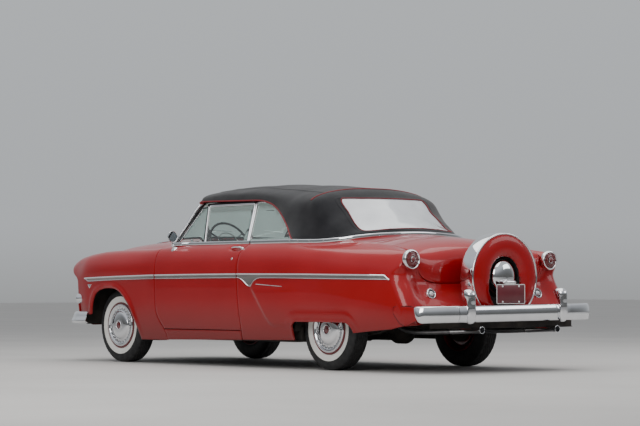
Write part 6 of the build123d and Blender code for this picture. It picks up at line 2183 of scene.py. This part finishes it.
# pleats
zz = v[:, 2]
v[:, 0] -= 1.2 * np.cos(v[:, 1] / 9.0) * smooth(520, 560, zz) * smooth(860, 820, zz)
zc = A([v[list(q)].mean(0)[2] for q in f])
both("door_card", v, f, None, bodies=DOORS, slot="upholstery", angle=40, mats=["seat", "seat_light"],
     idx=[1 if 540 < z < 840 else 0 for z in zc])
v, f = merge(blockv(800, 862, -560, -180, 720, 760, 14), revolve([(0.4, 16), (14, 15), (16, 8), (16, -6), (0.4, -6)], (852, -760, 700), (-1, 0, 0), 24),
             sweep(resample([(836, -760, 700), (832, -700, 668)], 14), ring(10, 5, 6), (1, 0, 0)),
             revolve([(0.4, 14), (9, 13), (10, 0), (0.4, 0)], (830, -700, 668), (-1, 0, 0), 20),
             sweep(resample([(846, -300, 850), (840, -220, 852)], 14), ring(10, 5, 8), (1, 0, 0)))
both("door_fittings", v, f, "seat", bodies=DOORS, slot="upholstery", angle=40)
# side panels of the rear seat
v, f = merge(blockv(640, 800, 60, 620, 360, 720, 20), blockv(640, 792, 60, 980, 716, 742, 10))
both("rear_side_panel", v, f, "seat", slot="upholstery", angle=40)
v, f = blockv(-640, 640, 955, 1240, 900, 912, 4)
solid("package_shelf", v, f, "carpet", slot="upholstery", angle=40)
# top bows inside
bows = []
for y in (-560, -180, 240, 700):
    uu = np.linspace(-RW * 0.9, RW * 0.9, 60)
    p, n = roof_s(np.stack([uu, np.full(60, float(y))], 1))
    bows.append(sweep(p - n * 26, ring(8, 7, 13, 2.6), n))
v, f = merge(*bows)
solid("roof_bows", v, f, "steel", slot="steel", angle=50)
# inside mirror and visors
v, f = merge(sweep(resample([(0, -1062, 1424), (0, -1030, 1392)], 8), ring(10, 5, 5), (1, 0, 0)),
             sweep(resample([(-88, -1022, 1380), (88, -1022, 1380)], 16), ring(16, 24, 7, 2.8), (0, 0, 1)))
solid("inside_mirror", v, f, "chrome", slot="chrome", angle=50)
vs = []
for s in (1, -1):
    vs.append(sweep(resample([(s * 120, -1010, 1385), (s * 470, -950, 1378)], 24), ring(20, 62, 8, 3.0), (0, 0.35, 1)))
v, f = merge(*vs)
solid("sun_visors", v, f, "seat_light", slot="upholstery", angle=50)

# ---------------------------------------------------------------- seats


def round_block(c, h, r, step=34.0):
    """Rounded block as a dense mesh: centre, half sizes, edge radius."""
    c, h = A(c), A(h)
    vs, fs, n0 = [], [], 0
    for ax in range(3):
        for s in (1, -1):
            o = [i for i in range(3) if i != ax]
            nu, nv = max(3, int(2 * h[o[0]] / step)), max(3, int(2 * h[o[1]] / step))
            u, w = np.meshgrid(np.linspace(-1, 1, nu + 1), np.linspace(-1, 1, nv + 1), indexing="ij")
            p = np.zeros((u.size, 3))
            p[:, ax] = s * h[ax]
            p[:, o[0]] = u.ravel() * h[o[0]]
            p[:, o[1]] = w.ravel() * h[o[1]]
            q = np.clip(p, -(h - r), h - r)
            d = p - q
            l = np.linalg.norm(d, axis=1, keepdims=True)
            p = q + d / np.maximum(l, 1e-9) * r
            vs.append(p + c)
            g = grid_faces(nu + 1, nv + 1)
            g = [tuple(int(k) + n0 for k in t) for t in g]
            a, b, d0 = (vs[-1][g[0][1] - n0] - vs[-1][g[0][0] - n0]), (vs[-1][g[0][2] - n0] - vs[-1][g[0][0] - n0]), None
            nn = np.cross(a, b)
            mid = vs[-1][g[len(g) // 2][0] - n0] - c
            gm = g[len(g) // 2]
            nn = np.cross(vs[-1][gm[1] - n0] - vs[-1][gm[0] - n0], vs[-1][gm[2] - n0] - vs[-1][gm[0] - n0])
            if nn[ax] * s < 0:
                g = [tuple(reversed(t)) for t in g]
            fs += g
            n0 += len(p)
    return np.vstack(vs), fs


def soft_block(name, verts, faces, mats, replaces, channels, pick, voxel=0.024, cap=0.018):
    """Padded piece: remeshed, inflated by a short cloth run, then its sewn channels pressed in."""
    me = bpy.data.meshes.new(name)
    me.from_pydata([tuple(v) for v in world(verts)], [], [tuple(int(i) for i in q) for q in faces])
    ob = bpy.data.objects.new(name, me)
    bpy.context.scene.collection.objects.link(ob)
    md = ob.modifiers.new("remesh", "REMESH")
    md.mode = "VOXEL"
    md.voxel_size = voxel
    dg = bpy.context.evaluated_depsgraph_get()
    new = bpy.data.meshes.new_from_object(ob.evaluated_get(dg))
    ob.modifiers.clear()
    ob.data = new
    n = len(new.vertices)
    base = np.zeros(n * 3)
    new.vertices.foreach_get("co", base)
    base = base.reshape(-1, 3)
    cl = ob.modifiers.new("cloth", "CLOTH")
    st = cl.settings
    st.quality = 4
    st.mass = 0.3
    st.tension_stiffness = 18
    st.compression_stiffness = 18
    st.shear_stiffness = 8
    st.bending_stiffness = 0.8
    st.use_pressure = True
    st.uniform_pressure_force = 4.0
    st.effector_weights.gravity = 0.0
    cl.point_cache.frame_start = 1
    cl.point_cache.frame_end = 20
    sc_ = bpy.context.scene
    for fr_ in range(1, 21):
        sc_.frame_set(fr_)
    dg = bpy.context.evaluated_depsgraph_get()
    ev = ob.evaluated_get(dg)
    co = np.zeros(n * 3)
    ev.data.vertices.foreach_get("co", co)
    co = co.reshape(-1, 3)
    d = co - base
    l = np.linalg.norm(d, axis=1, keepdims=True)
    co = base + d * np.minimum(1.0, cap / np.maximum(l, 1e-9))
    ob.modifiers.clear()
    sc_.frame_set(1)
    ob.data.vertices.foreach_set("co", co.ravel())
    ob.data.update()
    md = ob.modifiers.new("sub", "SUBSURF")
    md.levels = 1
    md.render_levels = 1
    dg = bpy.context.evaluated_depsgraph_get()
    new = bpy.data.meshes.new_from_object(ob.evaluated_get(dg))
    ob.modifiers.clear()
    ob.data = new
    n = len(new.vertices)
    co = np.zeros(n * 3)
    no = np.zeros(n * 3)
    new.vertices.foreach_get("co", co)
    new.vertices.foreach_get("normal", no)
    co, no = co.reshape(-1, 3), no.reshape(-1, 3)
    tm = co * 1000.0 - A((0, 97, 0))
    co = co - no * channels(tm, no)[:, None] * 0.001
    new.vertices.foreach_set("co", co.ravel())
    for m_ in mats:
        new.materials.append(M[m_])
    k = len(new.polygons)
    cen = np.zeros(k * 3)
    nor = np.zeros(k * 3)
    new.polygons.foreach_get("center", cen)
    new.polygons.foreach_get("normal", nor)
    new.polygons.foreach_set("material_index", pick(cen.reshape(-1, 3) * 1000.0 - A((0, 97, 0)), nor.reshape(-1, 3)).astype(np.int32))
    new.shade_smooth()
    new.update()
    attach(ob, "body")
    if replaces:
        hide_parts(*replaces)
    PIECES.append(ob)
    return ob


def bench(name, c, h, lean, cx, hw, replaces, top):
    """Cushion (top=True) or back rest with pleats across the middle."""
    v, f = round_block(c, h, min(h) * 0.72)
    lo, hi = c[2] - h[2], c[2] + h[2]
    v[:, 1] += lean * (v[:, 2] - lo) / (hi - lo)
    # crown
    u = (v[:, 0] - c[0]) / h[0]
    if top:
        v[:, 2] += 10 * (1 - u ** 2) * (v[:, 2] > c[2])
    else:
        v[:, 1] -= 8 * (1 - u ** 2) * (v[:, 1] < c[1] + lean * 0.5)

    def chan(p, n):
        face = smooth(0.55, 0.85, n[:, 2]) if top else smooth(0.55, 0.85, -n[:, 1])
        if top:
            a, b = p[:, 1] - (c[1] - h[1]), (c[1] + h[1]) - p[:, 1]
        else:
            a, b = p[:, 2] - lo, hi - p[:, 2]
        ins = smooth(78, 92, a) * smooth(70, 84, b) * smooth(hw - 74, hw - 88, np.abs(p[:, 0] - cx))
        pl = 4.0 * np.abs(np.cos(np.pi * (p[:, 0] - cx) / 62.0)) ** 8
        e = 5.0 * (np.exp(-((a - 84) / 6.0) ** 2) + np.exp(-((b - 76) / 6.0) ** 2)) * smooth(hw - 74, hw - 88, np.abs(p[:, 0] - cx))
        g = 5.0 * np.exp(-((np.abs(p[:, 0] - cx) - (hw - 80)) / 6.0) ** 2) * smooth(74, 90, a) * smooth(66, 82, b)
        return (pl * ins + e + g) * face

    def pick(p, n):
        if top:
            a, b = p[:, 1] - (c[1] - h[1]), (c[1] + h[1]) - p[:, 1]
            ok = n[:, 2] > 0.6
        else:
            a, b = p[:, 2] - lo, hi - p[:, 2]
            ok = n[:, 1] < -0.6
        return ok & (a > 84) & (b > 76) & (np.abs(p[:, 0] - cx) < hw - 80)
    return soft_block(name, v, f, ["seat", "seat_light"], replaces, chan, pick)


bench("front_cushion", (0, -365, 512), (672, 246, 76), 0, 0, 672, ("front_seat",), True)
bench("front_back_left", (344, -60, 742), (330, 62, 226), 62, 344, 330, (), False)
bench("front_back_right", (-344, -60, 742), (330, 62, 226), 62, -344, 330, (), False)
bench("rear_cushion", (0, 625, 610), (578, 226, 58), 0, 0, 578, ("rear_seat",), True)
bench("rear_back", (0, 880, 808), (578, 52, 178), 50, 0, 578, (), False)
# seat pedestal
v, f = merge(blockv(-660, 660, -600, -130, 362, 432, 10))
solid("front_seat_base", v, f, "black_metal", slot="black_metal", angle=40)


# ================================================================ floor, light, camera
def stage_setup():
    me = bpy.data.meshes.new("floor")
    s = 60.0
    me.from_pydata([(-s, -s, 0), (s, -s, 0), (s, s, 0), (-s, s, 0)], [], [(0, 1, 2, 3)])
    fl = bpy.data.objects.new("floor", me)
    bpy.context.scene.collection.objects.link(fl)
    me.materials.append(material("floor", (0.50, 0.49, 0.475), 0.85, vary=0.05, scale=0.6, rough_vary=0.08, bump=0.15, bump_scale=30))
    w = bpy.data.worlds.new("studio")
    bpy.context.scene.world = w
    w.use_nodes = True
    nt = w.node_tree
    bg = nt.nodes["Background"]
    tc = node(nt, "ShaderNodeTexCoord")
    sp = node(nt, "ShaderNodeSeparateXYZ")
    nt.links.new(tc.outputs["Generated"], sp.inputs["Vector"])
    ramp = node(nt, "ShaderNodeValToRGB")
    e = ramp.color_ramp.elements
    e[0].position, e[0].color = 0.0, (0.16, 0.155, 0.15, 1)
    e[1].position, e[1].color = 1.0, (0.98, 0.99, 1.0, 1)
    for pos, col in ((0.47, (0.15, 0.145, 0.14, 1)), (0.50, (0.17, 0.17, 0.165, 1)), (0.58, (0.30, 0.31, 0.32, 1)), (0.72, (0.90, 0.93, 1.0, 1))):
        q = e.new(pos)
        q.color = col
    mr = node(nt, "ShaderNodeMapRange")
    mr.inputs["From Min"].default_value = -1
    mr.inputs["From Max"].default_value = 1
    nt.links.new(sp.outputs["Z"], mr.inputs["Value"])
    nt.links.new(mr.outputs["Result"], ramp.inputs["Fac"])
    # the far side of the studio is a pale backdrop
    pale = node(nt, "ShaderNodeValToRGB")
    e = pale.color_ramp.elements
    e[0].position, e[0].color = 0.0, (0.16, 0.155, 0.15, 1)
    e[1].position, e[1].color = 1.0, (0.98, 0.99, 1.0, 1)
    for pos, col in ((0.49, (0.52, 0.53, 0.53, 1)), (0.51, (0.78, 0.81, 0.84, 1)), (0.60, (0.92, 0.96, 1.0, 1))):
        q = e.new(pos)
        q.color = col
    nt.links.new(mr.outputs["Result"], pale.inputs["Fac"])
    dt = node(nt, "ShaderNodeVectorMath", operation="DOT_PRODUCT")
    nt.links.new(tc.outputs["Generated"], dt.inputs[0])
    dt.inputs[1].default_value = (-0.632, -0.775, 0.0)
    m2 = node(nt, "ShaderNodeMapRange")
    m2.inputs["From Min"].default_value = 0.15
    m2.inputs["From Max"].default_value = 0.85
    nt.links.new(dt.outputs["Value"], m2.inputs["Value"])
    mx = node(nt, "ShaderNodeMix", data_type="RGBA")
    nt.links.new(m2.outputs["Result"], mx.inputs["Factor"])
    nt.links.new(ramp.outputs["Color"], mx.inputs["A"])
    nt.links.new(pale.outputs["Color"], mx.inputs["B"])
    nt.links.new(mx.outputs["Result"], bg.inputs["Color"])
    bg.inputs["Strength"].default_value = 0.62

    def area(name, loc, target, size, power, colour=(1, 1, 1)):
        l = bpy.data.lights.new(name, "AREA")
        l.shape = "RECTANGLE"
        l.size, l.size_y = size
        l.energy = power
        l.color = colour
        o = bpy.data.objects.new(name, l)
        bpy.context.scene.collection.objects.link(o)
        o.location = loc
        o.rotation_mode = "QUATERNION"
        o.rotation_quaternion = (Vector(target) - Vector(loc)).to_track_quat("-Z", "Y")

    area("top_light", (0.5, 0.5, 7.5), (0, 0, 0), (9, 12), 620, (1.0, 0.99, 0.97))
    area("side_light", (8.5, 5.5, 5.0), (0, 0.3, 0.6), (5, 4), 330, (1.0, 0.98, 0.95))
    area("back_light", (-6, 8, 4.5), (0, 1, 0.7), (5, 3), 120, (0.96, 0.98, 1.0))

    cam = bpy.data.cameras.new("camera")
    cam.sensor_width = 36.0
    cam.lens = 139.74
    cam.clip_start, cam.clip_end = 0.5, 200
    co = bpy.data.objects.new("camera", cam)
    bpy.context.scene.collection.objects.link(co)
    a, p, r = math.radians(140.8423), math.radians(1.608), math.radians(-0.094)
    up0 = Vector((0, 0, 1))
    fwd = Vector((-math.sin(a), math.cos(a), 0))
    right = Vector((math.cos(a), math.sin(a), 0))
    f2 = fwd * math.cos(p) + up0 * math.sin(p)
    u2 = up0 * math.cos(p) - fwd * math.sin(p)
    r3 = right * math.cos(r) + u2 * math.sin(r)
    u3 = u2 * math.cos(r) - right * math.sin(r)
    m = Matrix(((r3.x, u3.x, -f2.x, 13.6101), (r3.y, u3.y, -f2.y, 16.806), (r3.z, u3.z, -f2.z, 0.7122), (0, 0, 0, 1)))
    co.matrix_world = m
    bpy.context.scene.camera = co


stage_setup()
